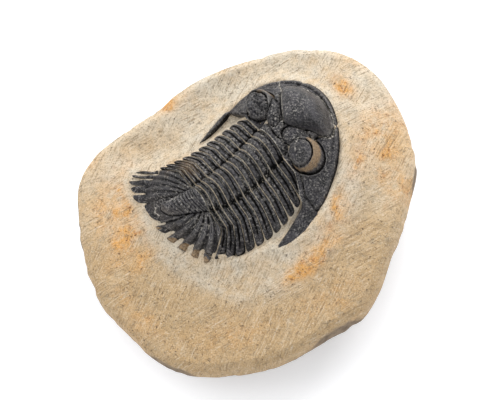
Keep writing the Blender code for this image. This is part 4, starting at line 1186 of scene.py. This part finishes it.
# colours of the shell; pairs are the ends of a cloudy range
CALCITE = ((0.003, 0.003, 0.004), (0.027, 0.025, 0.030))
CALCITE_GRAIN = (0.095, 0.088, 0.089)
# a painted highlight: paler grey laid on the crests of the relief
PAINTED_CREST_HIGHLIGHT = (0.17, 0.16, 0.152)
WORN_SPECKS = (0.42, 0.39, 0.355)
# painted shade: near black laid in the furrows of the relief
PAINTED_FURROW_SHADE = (0.001, 0.001, 0.001)
BROWN_CALCITE = ((0.17, 0.10, 0.045), (0.40, 0.285, 0.17))
ROCK_DUST = ((0.27, 0.24, 0.195), (0.64, 0.60, 0.53))


def shell_material():
    """Dark calcite with a satin gloss: worn grey specks, brown calcite, pale rock dust in its seams, a
    painted highlight on the crests and painted shade in the furrows.
    """
    m = Nodes("fossil_shell_stone")
    clouds = m.noise(3.2, 4.0)
    grain = m.noise(0.42, 3.0)
    specks = m.noise(0.6, 3.0, roughness=0.75)
    hollow = m.mark("hollow")
    m.put(m.shader.inputs["Specular IOR Level"], m.between(hollow, 0.45, 0.85, 0.36, 0.05))
    # clouds and grain of the calcite, then a painted highlight on the crests, where the hollow mark is low
    colour = m.layered(CALCITE[0], ((clouds, 0.40, 0.62, 1.0, CALCITE[1]),
                                    (grain, 0.46, 0.68, 0.7, CALCITE_GRAIN),
                                    (hollow, 0.42, 0.15, 0.6, PAINTED_CREST_HIGHLIGHT)))
    worn = m.times(m.between(specks, 0.53, 0.62), m.mark("wear"))
    colour = m.blend(m.times(worn, 0.8), colour, WORN_SPECKS)
    # painted shade in the furrows
    colour = m.layered(colour, ((hollow, 0.52, 0.8, 0.93, PAINTED_FURROW_SHADE),))
    brown = m.blend(m.between(grain, 0.35, 0.65), *BROWN_CALCITE)
    mottled = m.times(m.between(m.mark("tint"), 0.15, 0.85), m.between(specks, 0.40, 0.5, 0.45, 1.0))
    colour = m.blend(mottled, colour, brown)
    dust = m.math("SUBTRACT", m.math("ADD", m.mark("dust"), m.between(specks, 0.3, 0.7, 0.0, 0.7)), 0.5)
    dust = m.between(dust, 0.1, 0.6)
    cream = m.blend(m.between(specks, 0.4, 0.62), *ROCK_DUST)
    colour = m.blend(m.times(dust, 0.92), colour, cream)
    roughness = m.math("ADD", m.between(specks, 0.3, 0.7, 0.28, 0.55), m.times(dust, 0.35), True)
    relief = m.math("ADD", m.times(grain, 0.7), specks)
    return m.finish(colour, roughness, m.bump(relief, 1.0, 0.5))


# colours of the rock, in the order in which they are laid over one another
CREAM_ROCK = ((0.64, 0.455, 0.26), (0.66, 0.55, 0.40))
TAN_ROCK = (0.48, 0.325, 0.165)
SCRAPED_AND_LIT_ROCK = (0.655, 0.60, 0.50)
RUST = (0.68, 0.35, 0.10)
DEEP_RUST = (0.36, 0.12, 0.025)
GREY_CLOUDS = (0.25, 0.21, 0.145)
DARK_STROKES = (0.26, 0.175, 0.09)
PALE_STROKES = (0.72, 0.60, 0.45)
DARK_GRAINS = (0.20, 0.145, 0.085)
PALE_GRAINS = (0.76, 0.67, 0.54)
PEPPER_DOTS = (0.075, 0.048, 0.03)
DARK_SIDE_ROCK = ((0.12, 0.082, 0.05), (0.28, 0.205, 0.13))


def tool_strokes(m):
    """Short strokes of a steel point in two directions, each over its own part of the rock."""
    flat = m.noise(1.0, 2.0, m.mapped(28.0, (4.5, 0.36, 4.5)))
    steep = m.noise(1.0, 2.0, m.mapped(64.0, (4.0, 0.36, 4.0)))
    return m.blend(m.between(m.noise(14.0, 1.0), 0.46, 0.54), flat, steep)


def rock_material():
    """Fine limestone scraped with a steel point: cream and tan, iron stains, specks and pits."""
    m = Nodes("limestone_stone")
    clouds = m.noise(11.0, 5.0)
    patches = m.noise(3.4, 4.0, roughness=0.65)
    grain = m.noise(0.42, 3.0, roughness=0.75)
    pepper = m.noise(0.75, 4.0, roughness=0.8)
    colour = m.blend(m.between(clouds, 0.38, 0.62), *CREAM_ROCK)
    browner = m.times(m.mark("tan"), m.between(patches, 0.3, 0.6, 0.75, 1.0))
    colour = m.blend(browner, colour, TAN_ROCK)
    # pale where scraped, towards +y, and as a painted pool of light below the tail
    pale = m.times(m.mark("scraped_and_lit"), m.between(patches, 0.35, 0.6, 0.3, 1.0))
    colour = m.blend(m.times(pale, 0.8), colour, SCRAPED_AND_LIT_ROCK)
    rust = m.times(m.mark("stain"), m.between(patches, 0.38, 0.6, 0.7, 1.6), True)
    colour = m.blend(rust, colour, RUST)
    deep = m.times(rust, m.between(m.noise(1.5, 3.0, roughness=0.7), 0.54, 0.64))
    colour = m.blend(m.times(deep, 0.7), colour, DEEP_RUST)
    smudges = m.noise(1.9, 5.0, roughness=0.75)
    stroke = tool_strokes(m)
    colour = m.layered(colour, ((smudges, 0.52, 0.68, 0.5, GREY_CLOUDS),
                                (stroke, 0.55, 0.68, 0.65, DARK_STROKES),
                                (stroke, 0.44, 0.30, 0.5, PALE_STROKES),
                                (grain, 0.53, 0.68, 0.75, DARK_GRAINS),
                                (grain, 0.45, 0.28, 0.65, PALE_GRAINS)))
    dots = m.times(m.between(pepper, 0.60, 0.67), m.between(patches, 0.42, 0.54))
    colour = m.blend(m.times(dots, 0.9), colour, PEPPER_DOTS)
    # darker brown down the slab's side and on its underside, starting higher where the crust reaches the
    # edge
    dark_side = m.blend(m.between(patches, 0.35, 0.65), *DARK_SIDE_ROCK)
    colour = m.blend(m.mark("side"), colour, dark_side)
    relief = m.math("ADD", m.times(stroke, 0.9), m.math("ADD", grain, m.times(dots, -0.8)))
    normal = m.bump(relief, 1.0, 0.36, m.bump(patches, 0.7, 0.5))
    return m.finish(colour, m.between(grain, 0.3, 0.7, 0.85, 0.97), normal)


FLOOR_LOOK = {"Base Color": (0.93, 0.93, 0.94, 1.0), "Roughness": 0.9,
              "Emission Color": (1.0, 1.0, 1.0, 1.0), "Emission Strength": 0.26}


def floor_material():
    """White paper, with a little light of its own so that it stays white away from the shadow."""
    m = Nodes("pale_floor")
    for name, value in FLOOR_LOOK.items():
        m.put(m.shader.inputs[name], value)
    return m.material


# ---------------------------------------------------------------- camera, lights and floor

PHOTO_SCALE = 3.586              # pixels a millimetre, at the fossil
PHOTO_SIZE = (500.0, 400.0)
FOSSIL_PIXEL = (246.5, 182.4)    # where the body frame's origin is seen
# the camera's own directions
VIEW_RIGHT = np.array((0.995, 0.0, -0.1001))
VIEW_UP = np.array((0.0272, 0.9624, 0.2702))
VIEW_BACK = np.array((0.0963, -0.2715, 0.9576))
CAMERA_DISTANCE = 900.0
SENSOR = 36.0
FLOOR_HALF_SIZE = 6.0            # metres, as for the lights
# lights on the stage: name, place, size, power
LIGHTS = (("key", (0.4, 0.95, 0.7), 1.2, 13.0),
          ("fill", (-0.7, 0.3, 1.0), 1.2, 6.0))
SKY_COLOUR = (0.95, 0.97, 1.0, 1.0)
SKY_STRENGTH = 0.85


def add_camera():
    """The photo's view: the fossil's middle at its pixel, at the photo's scale."""
    right, down = (0.5 * size - pixel for size, pixel in zip(PHOTO_SIZE, FOSSIL_PIXEL))
    aim = FOSSIL_PLACE - MIDDLE + (VIEW_RIGHT * right - VIEW_UP * down) / PHOTO_SCALE
    data = bpy.data.cameras.new("camera")
    data.sensor_width = SENSOR
    data.lens = SENSOR * CAMERA_DISTANCE / (PHOTO_SIZE[0] / PHOTO_SCALE)
    data.clip_end = 100.0
    camera = add_object("camera", data)
    turn = Matrix((VIEW_RIGHT, VIEW_UP, VIEW_BACK)).transposed().to_4x4()
    turn.translation = Vector(aim + VIEW_BACK * CAMERA_DISTANCE) * MM
    camera.matrix_world = turn
    bpy.context.scene.camera = camera
    bpy.context.scene.view_settings.view_transform = "Standard"


def add_light(name, place, size, power):
    data = bpy.data.lights.new(name, "AREA")
    data.shape = "DISK"
    data.size = size
    data.energy = power
    light = add_object(name, data)
    light.location = place
    light.rotation_euler = (-Vector(place)).to_track_quat("-Z", "Y").to_euler()


def add_stage():
    """The floor, the lights and an even sky."""
    half = FLOOR_HALF_SIZE
    mesh = bpy.data.meshes.new("floor")
    mesh.from_pydata([(-half, -half, 0.0), (half, -half, 0.0), (half, half, 0.0), (-half, half, 0.0)],
                     [], [(0, 1, 2, 3)])
    mesh.materials.append(floor_material())
    floor = add_object("floor", mesh)
    for light in LIGHTS:
        add_light(*light)
    sky = bpy.data.worlds.new("studio")
    bpy.context.scene.world = sky
    sky.use_nodes = True
    background = sky.node_tree.nodes["Background"]
    background.inputs["Color"].default_value = SKY_COLOUR
    background.inputs["Strength"].default_value = SKY_STRENGTH


def main():
    shell = shell_material()
    build_slab(rock_material())
    plate("cephalon", cephalon_outline(), cephalon_surface, shell)
    for k in range(1, SEGMENTS + 1):
        build_segment(k, shell)
    plate("pygidium", pygidium_outline(), pygidium_surface, shell)
    add_stage()
    add_camera()


main()
